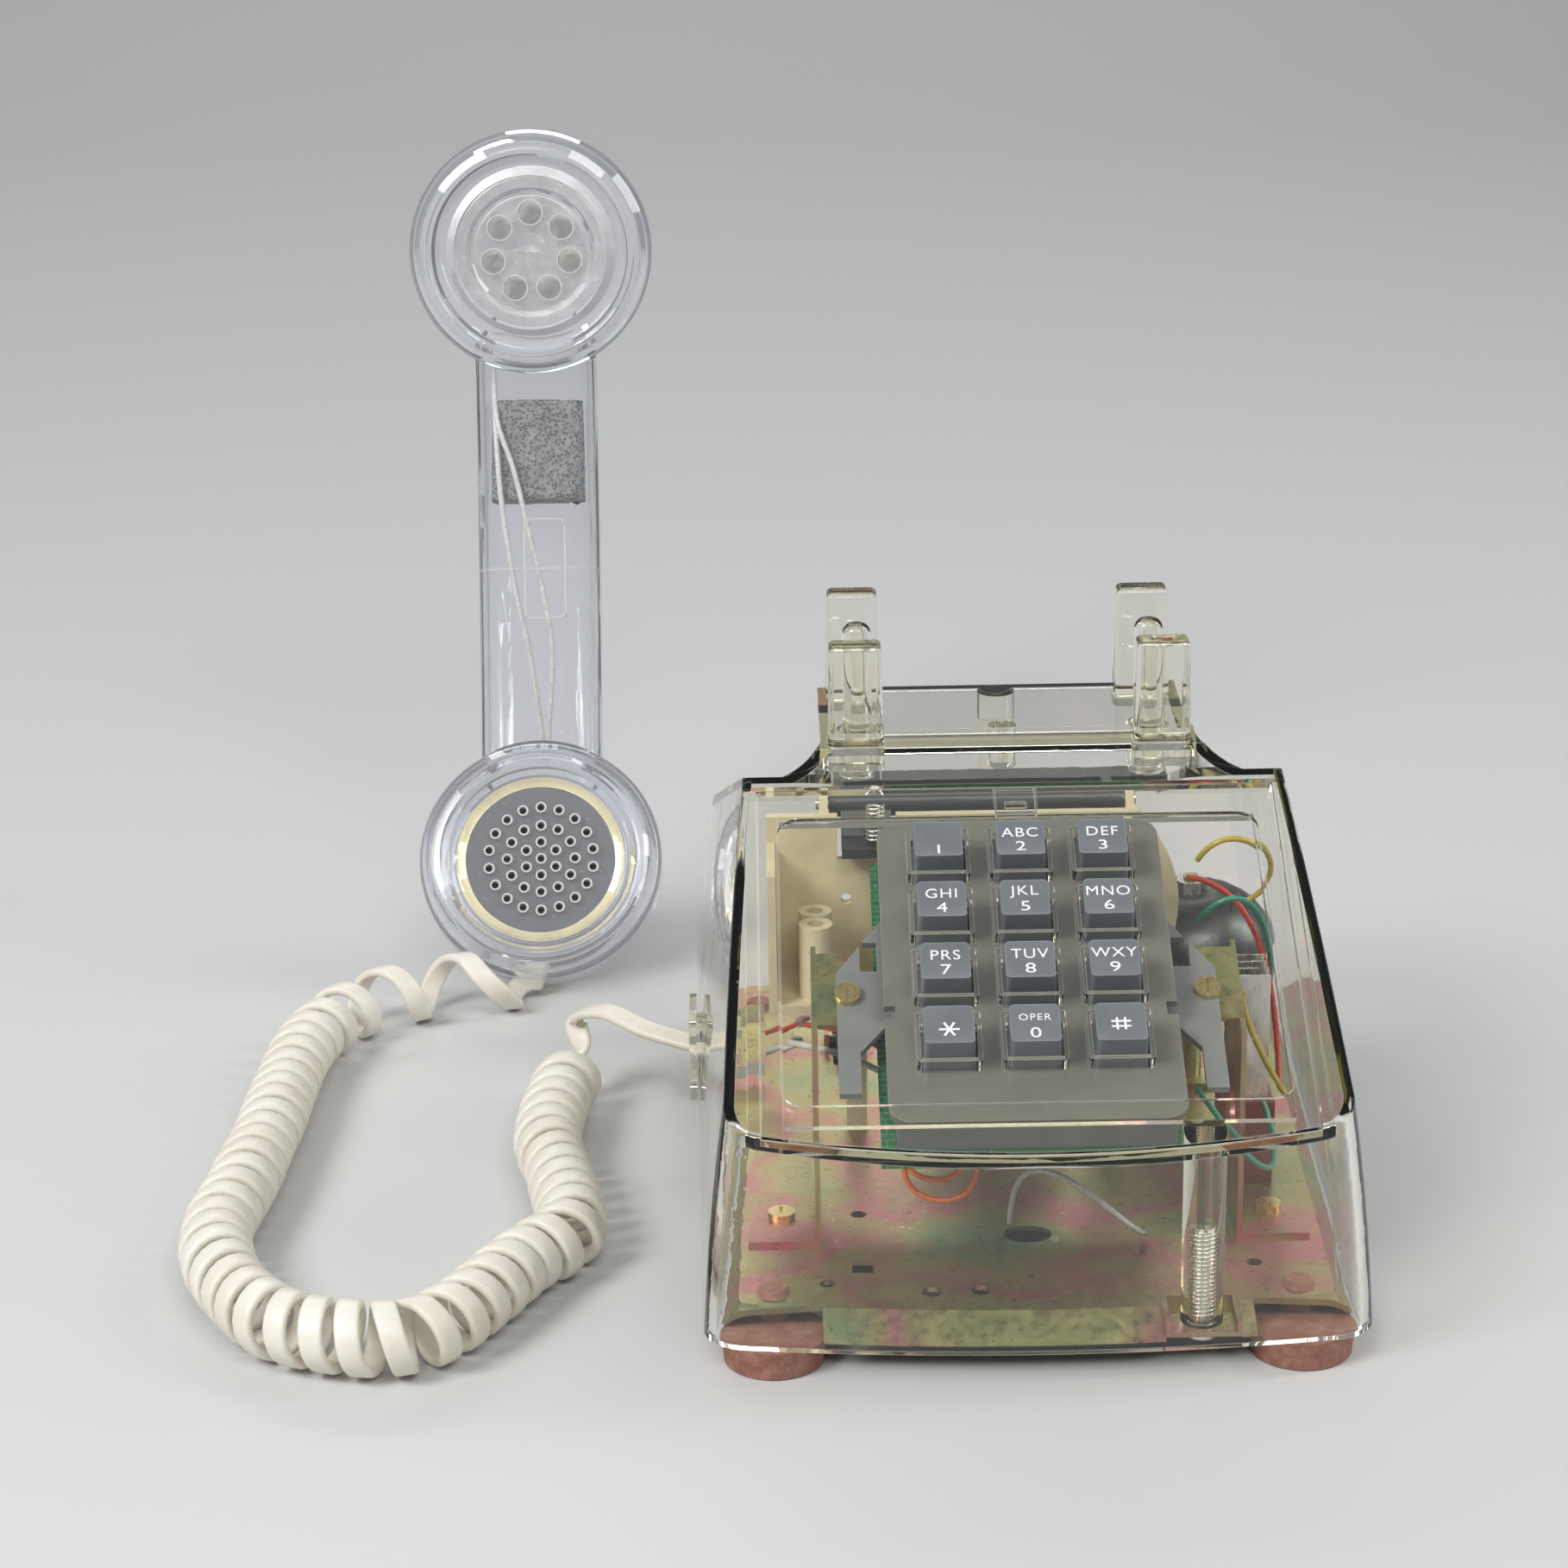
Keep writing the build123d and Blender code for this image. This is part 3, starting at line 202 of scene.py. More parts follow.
def clear_plastic(name, tint, density, haze=0.0, rub_and_highlight=0.3):
    """Clear moulded plastic: refracting to the eye, and letting the light through to what's inside; its sharp
    edges carry a painted highlight, a pale diffuse mixed in at the corners.
    """
    color = (0.97, 0.97, 1.0) if haze else (1, 1, 1)
    shader = Shader(name, color, 0.02, IOR=1.49, Transmission_Weight=1.0 - haze, Specular_IOR_Level=0.5)
    flow = shader.noise(0.012, 3, stretch=(1, 1, 0.25))
    scuff = shader.noise(0.0009, 5, 0.7)
    shader.set("Roughness", shader.span(scuff, 0.55, 0.75, 0.012, 0.05))
    shader.bump(flow, 0.00025, 0.12)
    shader.bump(shader.span(scuff, 0.66, 0.72), 0.00002, 0.35)
    absorb = shader.node("ShaderNodeVolumeAbsorption", {"Color": (*tint, 1), "Density": density})
    shader.tree.links.new(absorb.outputs[0], shader.output.inputs["Volume"])
    path = shader.node("ShaderNodeLightPath")
    rays = {0: path.outputs["Is Shadow Ray"], 1: path.outputs["Is Diffuse Ray"]}
    either = shader.node("ShaderNodeMath", rays, operation="MAXIMUM").outputs[0]
    facing = shader.node("ShaderNodeLayerWeight", {"Blend": 0.35}).outputs["Facing"]
    pale = shader.mix(shader.span(facing, 0.2, 1.0, 0.0, 0.75), (0.97, 0.97, 0.965), (0.55, 0.55, 0.54))
    through = shader.node("ShaderNodeBsdfTransparent", {"Color": pale})
    # Painted highlight: a pale diffuse mixed in at the sharp edges, standing for the bright edge lines of the
    # clear plastic.
    rubbed_and_highlit = shader.node("ShaderNodeBsdfDiffuse", {"Color": (0.92, 0.92, 0.88, 1)})
    skin = shader.node("ShaderNodeMixShader", {0: shader.edge(0.0005, rub_and_highlight), 1: shader.surface.outputs[0],
                                               2: rubbed_and_highlit.outputs[0]})
    blend = shader.node("ShaderNodeMixShader", {0: either, 1: skin.outputs[0], 2: through.outputs[0]})
    shader.tree.links.new(blend.outputs[0], shader.output.inputs["Surface"])
    return shader.material


def moulded(name, color, roughness, grain=0.0004, depth=0.00001, edge_wear_and_highlight=None, **values):
    """Opaque moulded plastic with a fine texture, faint mottling and edges given another colour, which is
    rubbed wear and, on the keys, a painted highlight.
    """
    shader = Shader(name, color, roughness, **values)
    cloud = shader.noise(0.009, 5)
    dark = tuple(c * 0.82 for c in color)
    shader.set("Base Color", shader.mix(shader.span(cloud, 0.35, 0.75), color, dark))
    fine = shader.noise(grain, 3)
    shader.set("Roughness", shader.span(fine, 0.3, 0.7, roughness - 0.06, roughness + 0.08))
    shader.bump(fine, depth, 0.6)
    if edge_wear_and_highlight:
        shader.edge_wear_and_highlight(edge_wear_and_highlight)
    return shader.material


def metal(name, color, roughness, edge_wear_and_highlight=None, line=0.0004, stretch=(1, 0.06, 0.06)):
    """Worked metal with rolling lines, blotches and small pits."""
    shader = Shader(name, color, roughness, Metallic=1.0)
    cloud = shader.noise(0.006, 6, 0.6)
    shader.set("Base Color", shader.mix(shader.span(cloud, 0.35, 0.7), color, tuple(c * 0.72 for c in color)))
    lines = shader.noise(line, 3, stretch=stretch)
    shader.set("Roughness", shader.span(lines, 0.3, 0.7, roughness - 0.08, roughness + 0.12))
    shader.bump(lines, 0.00001, 0.5)
    if edge_wear_and_highlight:
        shader.edge_wear_and_highlight(edge_wear_and_highlight, 0.6)
    return shader.material


def passivated():
    """Zinc plate with a yellow passivation that runs to green and pink."""
    shader = Shader("passivated_zinc", (0.55, 0.5, 0.25), 0.32, Metallic=0.92)
    broad = shader.noise(0.045, 2, 0.5)
    fine = shader.noise(0.014, 5, 0.6)
    ramp = shader.node("ShaderNodeValToRGB", {"Fac": shader.span(broad, 0.3, 0.7)})
    stops = ((0.0, (0.26, 0.34, 0.15)), (0.28, (0.44, 0.42, 0.19)), (0.46, (0.38, 0.28, 0.17)),
             (0.6, (0.48, 0.17, 0.21)), (0.76, (0.40, 0.33, 0.16)), (1.0, (0.22, 0.33, 0.19)))
    ramp.color_ramp.elements[0].position = stops[0][0]
    ramp.color_ramp.elements[1].position = stops[-1][0]
    for place, _ in stops[1:-1]:
        ramp.color_ramp.elements.new(place)
    for element, (_, color) in zip(ramp.color_ramp.elements, stops):
        element.color = (*color, 1)
    shade = shader.mix(shader.span(fine, 0.35, 0.7, 0.0, 0.55), ramp.outputs["Color"], (0.36, 0.32, 0.15))
    stain = shader.noise(0.0025, 6, 0.7)
    shader.set("Base Color", shader.mix(shader.span(stain, 0.6, 0.72, 0.0, 0.7), shade, (0.10, 0.08, 0.05)))
    shader.set("Roughness", shader.span(stain, 0.3, 0.7, 0.22, 0.5))
    shader.bump(stain, 0.00002, 0.35)
    return shader.material


def circuit_board():
    """Solder mask over straight copper tracks, with tinned pads."""
    shader = Shader("solder_mask", (0.03, 0.16, 0.07), 0.28)
    inputs = {"Vector": shader.place, "Scale": 160.0, "Mortar Size": 0.035, "Color1": (0.03, 0.15, 0.07, 1),
              "Color2": (0.04, 0.19, 0.09, 1), "Mortar": (0.08, 0.30, 0.13, 1)}
    brick = shader.node("ShaderNodeTexBrick", inputs)
    pads = shader.span(shader.cells(0.0026), 0.16, 0.13)
    shader.set("Base Color", shader.mix(pads, brick.outputs["Color"], (0.62, 0.6, 0.55)))
    shader.set("Metallic", shader.span(pads, 0, 1, 0, 0.9))
    shader.bump(brick.outputs["Fac"], 0.00004, 0.4)
    return shader.material


def frosted_and_highlit():
    """Cut edges of clear plastic, where the tool left them rough and pale; on the hole rims and handle lines
    the pale colour is also a painted highlight.
    """
    shader = Shader("frosted_and_highlit_edge", (0.78, 0.78, 0.76), 0.45, Subsurface_Weight=0.2, Subsurface_Scale=0.0005)
    chatter = shader.noise(0.0003, 4)
    rough = shader.span(chatter, 0.35, 0.7)
    shader.set("Base Color", shader.mix(rough, (0.80, 0.80, 0.78), (0.52, 0.52, 0.50)))
    return shader.bump(chatter, 0.00005, 0.7).material


def rubber_foot():
    """Brown rubber, dusty and a little chalky."""
    shader = Shader("brown_rubber", (0.26, 0.105, 0.07), 0.72)
    dust = shader.noise(0.004, 6, 0.7)
    dusty = shader.span(dust, 0.42, 0.75)
    shader.set("Base Color", shader.mix(dusty, (0.26, 0.105, 0.07), (0.44, 0.24, 0.18)))
    fine = shader.noise(0.0005, 4)
    shader.bump(fine, 0.00005, 0.6)
    return shader.edge_wear_and_highlight((0.46, 0.25, 0.18), 0.5).material


def open_foam():
    """Grey open-cell foam: pores painted near-black as the shade inside the holes, between pale struts."""
    shader = Shader("open_foam", (0.34, 0.35, 0.33), 0.95)
    pores = shader.span(shader.cells(0.0009), 0.1, 0.55)
    blot = shader.noise(0.0035, 4)
    tone = shader.mix(shader.span(blot, 0.3, 0.7), (0.36, 0.37, 0.34), (0.22, 0.23, 0.21))
    # Painted shade: the pore centres get a near-black colour standing for the shade inside each hole.
    shader.set("Base Color", shader.mix(pores, (0.07, 0.07, 0.065), tone))
    return shader.bump(pores, 0.0004, 0.9).material


def cord_jacket():
    """Off-white soft vinyl, a little yellowed and rubbed."""
    shader = Shader("cord_jacket", (0.83, 0.79, 0.70), 0.36, Subsurface_Weight=0.08, Subsurface_Scale=0.002)
    age = shader.noise(0.018, 5, 0.6)
    grime = shader.noise(0.0022, 6, 0.7)
    tone = shader.mix(shader.span(age, 0.35, 0.7), (0.85, 0.82, 0.74), (0.76, 0.70, 0.58))
    shader.set("Base Color", shader.mix(shader.span(grime, 0.62, 0.8, 0.0, 0.5), tone, (0.52, 0.47, 0.38)))
    shader.set("Roughness", shader.span(grime, 0.3, 0.7, 0.3, 0.46))
    return shader.bump(grime, 0.00003, 0.5).material


def insulated(name, color):
    """Glossy wire insulation with a faint ripple along it."""
    shader = Shader(name, color, 0.3)
    ripple = shader.noise(0.0012, 4)
    dark = tuple(c * 0.7 for c in color)
    shader.set("Base Color", shader.mix(shader.span(ripple, 0.35, 0.75), color, dark))
    return shader.bump(ripple, 0.00004, 0.5).material


def winding():
    """Enamelled copper wire lying in close turns."""
    shader = Shader("enamelled_copper", (0.58, 0.26, 0.12), 0.3, Metallic=0.85)
    cloud = shader.noise(0.004, 4)
    shader.set("Base Color", shader.mix(shader.span(cloud, 0.3, 0.7), (0.60, 0.28, 0.13), (0.38, 0.15, 0.07)))
    return shader.bump(shader.bands(0.0004, "X"), 0.0001, 0.8).material


def printed_legend():
    """White moulded-through legend, very slightly greyed."""
    shader = Shader("legend_white", (0.86, 0.87, 0.86), 0.4)
    rub_and_highlight = shader.noise(0.0008, 4)
    rubbed_and_highlit = shader.span(rub_and_highlight, 0.5, 0.8, 0, 0.5)
    shader.set("Base Color", shader.mix(rubbed_and_highlit, (0.88, 0.89, 0.88), (0.68, 0.70, 0.70)))
    return shader.bump(rub_and_highlight, 0.00001, 0.4).material


CLEAR_BASE = clear_plastic("clear_plastic_base", (0.93, 0.915, 0.76), 60.0)
CLEAR_HANDSET = clear_plastic("clear_plastic_handset", (0.84, 0.87, 0.90), 60.0, haze=0.03)
CLEAR_CAP = clear_plastic("clear_plastic_cap", (0.84, 0.86, 0.92), 60.0, haze=0.10)
GREY = moulded("bezel_grey", (0.20, 0.198, 0.168), 0.42, edge_wear_and_highlight=(0.36, 0.35, 0.30))
FRAME_GREY = moulded("dial_frame_grey", (0.30, 0.31, 0.30), 0.38, edge_wear_and_highlight=(0.42, 0.43, 0.42),
                     Transmission_Weight=0.15)
# Painted highlight: the keys' lighter edge colour stands for the highlight along their edges, as well as
# wear.
KEY = moulded("key_grey", (0.175, 0.19, 0.205), 0.34, grain=0.0003, edge_wear_and_highlight=(0.36, 0.38, 0.40), Coat_Weight=0.15)
CREAM = moulded("cream_plastic", (0.82, 0.70, 0.46), 0.45, edge_wear_and_highlight=(0.88, 0.80, 0.60), Subsurface_Weight=0.05)
DARK = moulded("dark_plastic", (0.045, 0.052, 0.052), 0.36, edge_wear_and_highlight=(0.12, 0.13, 0.13))
MOUTH_DARK = moulded("microphone_black", (0.010, 0.011, 0.010), 0.3, edge_wear_and_highlight=(0.05, 0.05, 0.05),
                     Specular_IOR_Level=0.25)
FROST_AND_HIGHLIGHT = frosted_and_highlit()
PHENOLIC = moulded("red_phenolic", (0.30, 0.075, 0.05), 0.42, edge_wear_and_highlight=(0.45, 0.16, 0.1))
ZINC = passivated()
NICKEL = metal("nickel_plate", (0.68, 0.67, 0.64), 0.26, edge_wear_and_highlight=(0.85, 0.84, 0.8))
BRASS = metal("brass", (0.70, 0.55, 0.26), 0.3, edge_wear_and_highlight=(0.85, 0.72, 0.42), stretch=(1, 1, 1))
RING = metal("gilt_ring", (0.40, 0.35, 0.18), 0.42, edge_wear_and_highlight=(0.5, 0.45, 0.26), stretch=(1, 1, 1))
CAPSULE = metal("receiver_capsule", (0.52, 0.51, 0.49), 0.5, edge_wear_and_highlight=(0.7, 0.68, 0.62), line=0.0009,
                stretch=(1, 1, 1))
GONG = metal("dark_steel", (0.10, 0.105, 0.10), 0.34, edge_wear_and_highlight=(0.3, 0.3, 0.28))
BOARD = circuit_board()
RUBBER = rubber_foot()
FOAM = open_foam()
CORD = cord_jacket()
COPPER = winding()
LEGEND = printed_legend()
RED_WIRE = insulated("wire_red", (0.62, 0.05, 0.02))
WHITE_WIRE = insulated("wire_white", (0.80, 0.78, 0.72))
GREEN_WIRE = insulated("wire_green", (0.04, 0.30, 0.19))
YELLOW_WIRE = insulated("wire_yellow", (0.62, 0.46, 0.05))
ORANGE_WIRE = insulated("wire_orange", (0.80, 0.16, 0.02))

FINISHES = {
    CLEAR_BASE: "housing faceplate faceplate_latch plunger_left plunger_right handset_jack line_jack "
                "cord_plug",
    CLEAR_HANDSET: "handset_shell transmitter_cup",
    CLEAR_CAP: "receiver_cap transmitter_cap",
    GREY: "dial_bezel",
    FRAME_GREY: "dial_frame",
    CREAM: "network_housing",
    DARK: "hook_lever loudness_wheel",
    MOUTH_DARK: "transmitter_unit",
    PHENOLIC: "contact_block",
    ZINC: "base_plate dial_bracket_left dial_bracket_right ringer_frame",
    NICKEL: "lever_pin hook_spring contact_springs gong_nuts clapper housing_screws dial_contacts",
    CAPSULE: "receiver_unit",
    BRASS: "dial_screws",
    RING: "transmitter_ring",
    GONG: "gongs ringer_core",
    BOARD: "dial_board",
    RUBBER: "feet",
    FOAM: "handset_foam",
    CORD: "coil_cord cord_tail cord_grommet",
    COPPER: "ringer_coil",
    RED_WIRE: "wires_red",
    WHITE_WIRE: "wires_white handset_wires",
    GREEN_WIRE: "wires_green",
    YELLOW_WIRE: "wires_yellow",
    ORANGE_WIRE: "wires_orange",
    KEY: " ".join(name for name in NODES if name.startswith("key_")),
}


def finish_with(obj, material):
    """Gives a whole object one material."""
    obj.data.materials.clear()
    obj.data.materials.append(material)


for material, names in FINISHES.items():
    for name in names.split():
        finish_with(NODES[name], material)

for node in NODES.values():
    for polygon in node.data.polygons:
        polygon.use_smooth = True
    edge = node.modifiers.new("crease", "EDGE_SPLIT")
    edge.split_angle = math.radians(32)


# ---------------------------------------------------------------- mesh tools
def new_piece(name, mesh, material, body):
    """A finished piece in the scene, riding on a body."""
    piece = bpy.data.objects.new(name, mesh)
    bpy.context.scene.collection.objects.link(piece)
    finish_with(piece, material)
    if body:
        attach(piece, body)
    return piece


def smooth_line(points, step):
    """Points on a Catmull-Rom line through the given ones, evenly spaced."""
    knots = [points[0] * 2 - points[1], *points, points[-1] * 2 - points[-2]]
    dense = []
    for a, b, c, d in zip(knots, knots[1:], knots[2:], knots[3:]):
        for i in range(40):
            t = i / 40
            dense.append(0.5 * (2 * b + (c - a) * t + (2 * a - 5 * b + 4 * c - d) * t * t
                                + (3 * b - a - 3 * c + d) * t ** 3))
    dense.append(points[-1])
    run = [0.0]
    for a, b in zip(dense, dense[1:]):
        run.append(run[-1] + (b - a).length)
    count = max(2, round(run[-1] / step))
    even, seek = [], 0
    for i in range(count + 1):
        want = run[-1] * i / count
        while seek < len(run) - 2 and run[seek + 1] < want:
            seek += 1
        share = (want - run[seek]) / max(run[seek + 1] - run[seek], 1e-9)
        even.append(dense[seek].lerp(dense[seek + 1], min(max(share, 0), 1)))
    return even


def frames_along(points, up=Vector((0, 0, 1))):
    """(point, tangent, across, up) at each point, carried along without twisting."""
    rows = []
    for i, point in enumerate(points):
        tangent = (points[min(i + 1, len(points) - 1)] - points[max(i - 1, 0)]).normalized()
        across = tangent.cross(up).normalized()
        up = across.cross(tangent).normalized()
        rows.append((point, tangent, across, up))
    return rows


def tube(name, rings):
    """A closed tube mesh through rings of points, capped at both ends."""
    mesh = bpy.data.meshes.new(name)
    work = bmesh.new()
    loops = [[work.verts.new(p) for p in ring] for ring in rings]
    for a, b in zip(loops, loops[1:]):
        for i in range(len(a)):
            j = (i + 1) % len(a)
            work.faces.new((a[i], a[j], b[j], b[i])).smooth = True
    work.faces.new(list(reversed(loops[0])))
    work.faces.new(loops[-1])
    bmesh.ops.recalc_face_normals(work, faces=work.faces)
    work.to_mesh(mesh)
    work.free()
    return mesh


def round_section(radius, sides=10):
    """Points of a round section."""
    turns = [math.tau * i / sides for i in range(sides)]
    return [(radius * math.cos(turn), radius * math.sin(turn)) for turn in turns]


def flat_section(width, height, corner, steps=3):
    """Points of a rounded flat section, width across by height."""
    points = []
    for sx, sy, start in ((1, 1, 0), (-1, 1, 90), (-1, -1, 180), (1, -1, 270)):
        cx, cy = sx * (width / 2 - corner), sy * (height / 2 - corner)
        for i in range(steps + 1):
            a = math.radians(start + 90 * i / steps)
            points.append((cx + corner * math.cos(a), cy + corner * math.sin(a)))
    return points


def swept(name, points, section, up=Vector((0, 0, 1))):
    """A section carried along the points, as a closed tube mesh."""
    rows = frames_along(points, up)
    return tube(name, [[p + across * x + up * y for x, y in section] for p, _, across, up in rows])


def wire_mesh(name, points, radius):
    """A round wire along a smooth line through the points."""
    return swept(name, smooth_line(points, 1.5 * MM), round_section(radius))


def islands(mesh):
    """The separate solids of a mesh, each as a list of its corner points."""
    work = bmesh.new()
    work.from_mesh(mesh)
    bmesh.ops.remove_doubles(work, verts=work.verts, dist=1e-7)
    groups, seen = [], set()
    for first in work.verts:
        if first in seen:
            continue
        group, edge = [], [first]
        seen.add(first)
        while edge:
            vert = edge.pop()
            group.append(vert.co.copy())
            for link in vert.link_edges:
                other = link.other_vert(vert)
                if other not in seen:
                    seen.add(other)
                    edge.append(other)
        groups.append(group)
    work.free()
    return groups


def box_of(points):
    """The lowest and highest corner of some points."""
    low = Vector([min(p[i] for p in points) for i in range(3)])
    high = Vector([max(p[i] for p in points) for i in range(3)])
    return low, high


def merged(name, meshes):
    """Several meshes as one."""
    whole = bpy.data.meshes.new(name)
    work = bmesh.new()
    for mesh in meshes:
        work.from_mesh(mesh)
    work.to_mesh(whole)
    work.free()
    return whole


# ---------------------------------------------------------------- key legends
LETTERS = {"key_2": "ABC", "key_3": "DEF", "key_4": "GHI", "key_5": "JKL", "key_6": "MNO", "key_7": "PRS",
           "key_8": "TUV", "key_9": "WXY", "key_0": "OPER"}
INK = 0.08 * MM                      # thickness of the lettering
SHEET_GAP = 0.004 * MM               # keeps crossing bars out of each other's faces


def text_mesh(words, size, spacing=1.0, stretch=1.0):
    """Flat lettering centred on the origin, as a thin closed mesh."""
    curve = bpy.data.curves.new("letters", "FONT")
    curve.body = words
    curve.size = size
    curve.space_character = spacing
    curve.align_x = "CENTER"
    curve.extrude = INK / 2
    curve.resolution_u = 6
    holder = bpy.data.objects.new("letters", curve)
    mesh = bpy.data.meshes.new_from_object(holder)
    bpy.data.objects.remove(holder)
    low = min(v.co.y for v in mesh.vertices)
    high = max(v.co.y for v in mesh.vertices)
    for v in mesh.vertices:
        v.co.x *= stretch
        v.co.y -= (low + high) / 2
    return mesh


def bar_mesh(bars):
    """Flat bars crossing each other: each is (x, y, angle, length, width), as a thin closed mesh."""
    mesh = bpy.data.meshes.new("bars")
    work = bmesh.new()
    for layer, (x, y, angle, length, width) in enumerate(bars):
        made = bmesh.ops.create_cube(work, size=1)["verts"]
        place = Matrix.Translation((x, y, layer * SHEET_GAP)) @ Matrix.Rotation(math.radians(angle), 4, "Z")
        bmesh.ops.transform(work, matrix=place @ Matrix.Diagonal((length, width, INK, 1)), verts=made)
    long_edges = [e for e in work.edges if e.calc_length() > 1.2 * MM]
    bmesh.ops.subdivide_edges(work, edges=long_edges, cuts=6)
    work.to_mesh(mesh)
    work.free()
    return mesh


def raised(mesh, offset):
    """A mesh moved up the key by offset."""
    mesh.transform(Matrix.Translation((0, offset, 0)))
    return mesh


def key_legend(key):
    """The lettering of one key, lying on its dished top."""
    digit = key.split("_")[1]
    if digit == "star":
        parts = [raised(bar_mesh([(0, 0, a, 4.6 * MM, 0.55 * MM) for a in (0, 60, 120)]), -0.6 * MM)]
    elif digit == "hash":
        upright = [(x * MM, 0, 90, 3.6 * MM, 0.5 * MM) for x in (-0.9, 0.9)]
        level = [(0, y * MM, 0, 4.4 * MM, 0.5 * MM) for y in (-0.75, 0.75)]
        parts = [raised(bar_mesh(upright + level), 0.2 * MM)]
    else:
        drop = {"1": -2.6, "0": -2.1}.get(digit, -1.9)
        parts = [raised(text_mesh(digit, 4.7 * MM, stretch=1.15), drop * MM)]
    if key in LETTERS:
        size, spacing = (2.5, 1.15) if key == "key_0" else (3.8, 1.12)
        parts.append(raised(text_mesh(LETTERS[key], size * MM, spacing, stretch=1.1), 2.5 * MM))
    mesh = merged("legend_" + key, parts)
    node = NODES[key]
    centre = middle(key)
    corners = [v.co for v in node.data.vertices]
    surface = BVHTree.FromPolygons(corners, [p.vertices for p in node.data.polygons])
    for v in mesh.vertices:
        above = centre + ACROSS * v.co.x + PANEL_UP * v.co.y + PANEL_OUT * 30 * MM
        hit = surface.ray_cast(above, -PANEL_OUT)[0]
        v.co = hit + PANEL_OUT * (v.co.z + 0.03 * MM)
    new_piece("legend_" + key, mesh, LEGEND, key)


for key in sorted(name for name in NODES if name.startswith("key_")):
    key_legend(key)


# ---------------------------------------------------------------- coiled cord
STRIP_W, STRIP_T, STRIP_CORNER = 5.7 * MM, 2.3 * MM, 0.95 * MM
COIL_R = 7.4 * MM                    # middle of the strip, from the coil's own middle line
FLOOR_GAP = 0.3 * MM
AXIS_STEP, TAIL_STEP = 0.4 * MM, 0.8 * MM
PITCH, PITCH_PULLED, PITCH_TAIL = 7.9 * MM, 32 * MM, 4 * MM  # at rest, and added at the two ends
PULLED, LOOSENED = 85 * MM, 15 * MM  # how far from each end the turns are drawn out
grommet_low, grommet_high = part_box("cord_grommet")
plug_low, plug_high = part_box("cord_plug")


def on_floor(x, y, z=None):
    """A point in mm from the middle of the set's front edge; without z, the lying coil's middle."""
    rise = COIL_R + STRIP_T / 2 + FLOOR_GAP
    return HOME + Vector((x * MM, y * MM, rise if z is None else z * MM))


def coil_axis():
    """The coil's middle line: drawn out near the handset, then round the floor to the base."""
    grommet_x = (grommet_low.x + grommet_high.x) / 2
    exit_hole = Vector((grommet_x, grommet_low.y - 1 * MM, grommet_low.z + 3.5 * MM))
    drawn_out = ((-131, 217), (-142, 214.5), (-153, 211), (-163, 205), (-173.5, 194))
    left = ((-181, 174), (-183.5, 147), (-184.8, 120), (-187.5, 88), (-190, 64))
    front = ((-185.5, 42), (-172.5, 20), (-157, 11.5), (-141, 10.5), (-130, 21))
    right = ((-117, 46), (-107, 62), (-110, 88), (-114.5, 112), (-113, 138), (-110, 154))
    return smooth_line([exit_hole] + [on_floor(x, y) for x, y in drawn_out + left + front + right], AXIS_STEP)


def turn_length(s, left, seed_place):
    """How far one turn reaches along the coil, s from the handset end and left from the other."""
    pulled = PITCH_PULLED * max(0, 1 - s / PULLED) ** 1.3
    loose = PITCH_TAIL * max(0, 1 - left / LOOSENED)
    return (PITCH + pulled + loose) * (1 + 0.11 * noise.noise(Vector((seed_place, 3.1, 0))))


def tail_line(start, heading):
    """From the coil's last turn up to the plug in the jack."""
    jack = Vector((plug_low.x + 3 * MM, (plug_low.y + plug_high.y) / 2, (plug_low.z + plug_high.z) / 2))
    return smooth_line([start, start + heading * 6 * MM, on_floor(-109, 160, 21), on_floor(-101, 151, 26.5),
                        on_floor(-90, 141, 25.5), jack], TAIL_STEP)


def coil_cord():
    """The flat cord: wound into a coil, drawn out at the handset and straight at the jack."""
    rows = frames_along(coil_axis())
    total = len(rows) - 1
    section = flat_section(STRIP_W, STRIP_T, STRIP_CORNER)
    centres, outs, angle = [], [], math.radians(14)
    for i, (point, _, across, up) in enumerate(rows):
        s, left = i * AXIS_STEP, (total - i) * AXIS_STEP
        angle -= math.tau * AXIS_STEP / turn_length(s, left, s * 45)
        grow = min(1, s / (11 * MM)) * min(1, 0.35 + left / (8 * MM))
        uneven = 1 + 0.06 * noise.noise(Vector((s * 60, 0, 7.7)))
        out = across * math.cos(angle) + up * math.sin(angle)
        centres.append(point + out * COIL_R * (grow * grow * (3 - 2 * grow)) * uneven)
        outs.append(out)
    tail = tail_line(centres[-1], (centres[-1] - centres[-4]).normalized())
    for i, point in enumerate(tail[1:]):
        centres.append(point)
        outs.append(outs[total].lerp(Vector((0, -0.25, 1)), min(1, (i + 1) / 20)).normalized())
    rings = []
    for i, centre in enumerate(centres):
        along = (centres[min(i + 1, len(centres) - 1)] - centres[max(i - 1, 0)]).normalized()
        out = (outs[i] - along * outs[i].dot(along)).normalized()
        wide = along.cross(out)
        ring = [centre + wide * x + out * y for x, y in section]
        lift = max(0, 0.1 * MM - min(p.z for p in ring))
        rings.append([p + Vector((0, 0, lift)) for p in ring])
    piece = new_piece("coiled_cord", tube("coiled_cord", rings), CORD, None)
    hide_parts("coil_cord", "cord_tail")
    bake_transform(piece)


coil_cord()


# ---------------------------------------------------------------- springs, threads and windings
THREAD_R = 1.7 * MM                              # middle of the thread's ridge
THREAD_START, THREAD_END = 0.5 * MM, 21 * MM     # down from the tip of each screw
WINDING_TURNS, WINDING_SIDES = 52, 36
CHEEK = 1.4 * MM                                 # the bobbin's end that the winding leaves bare


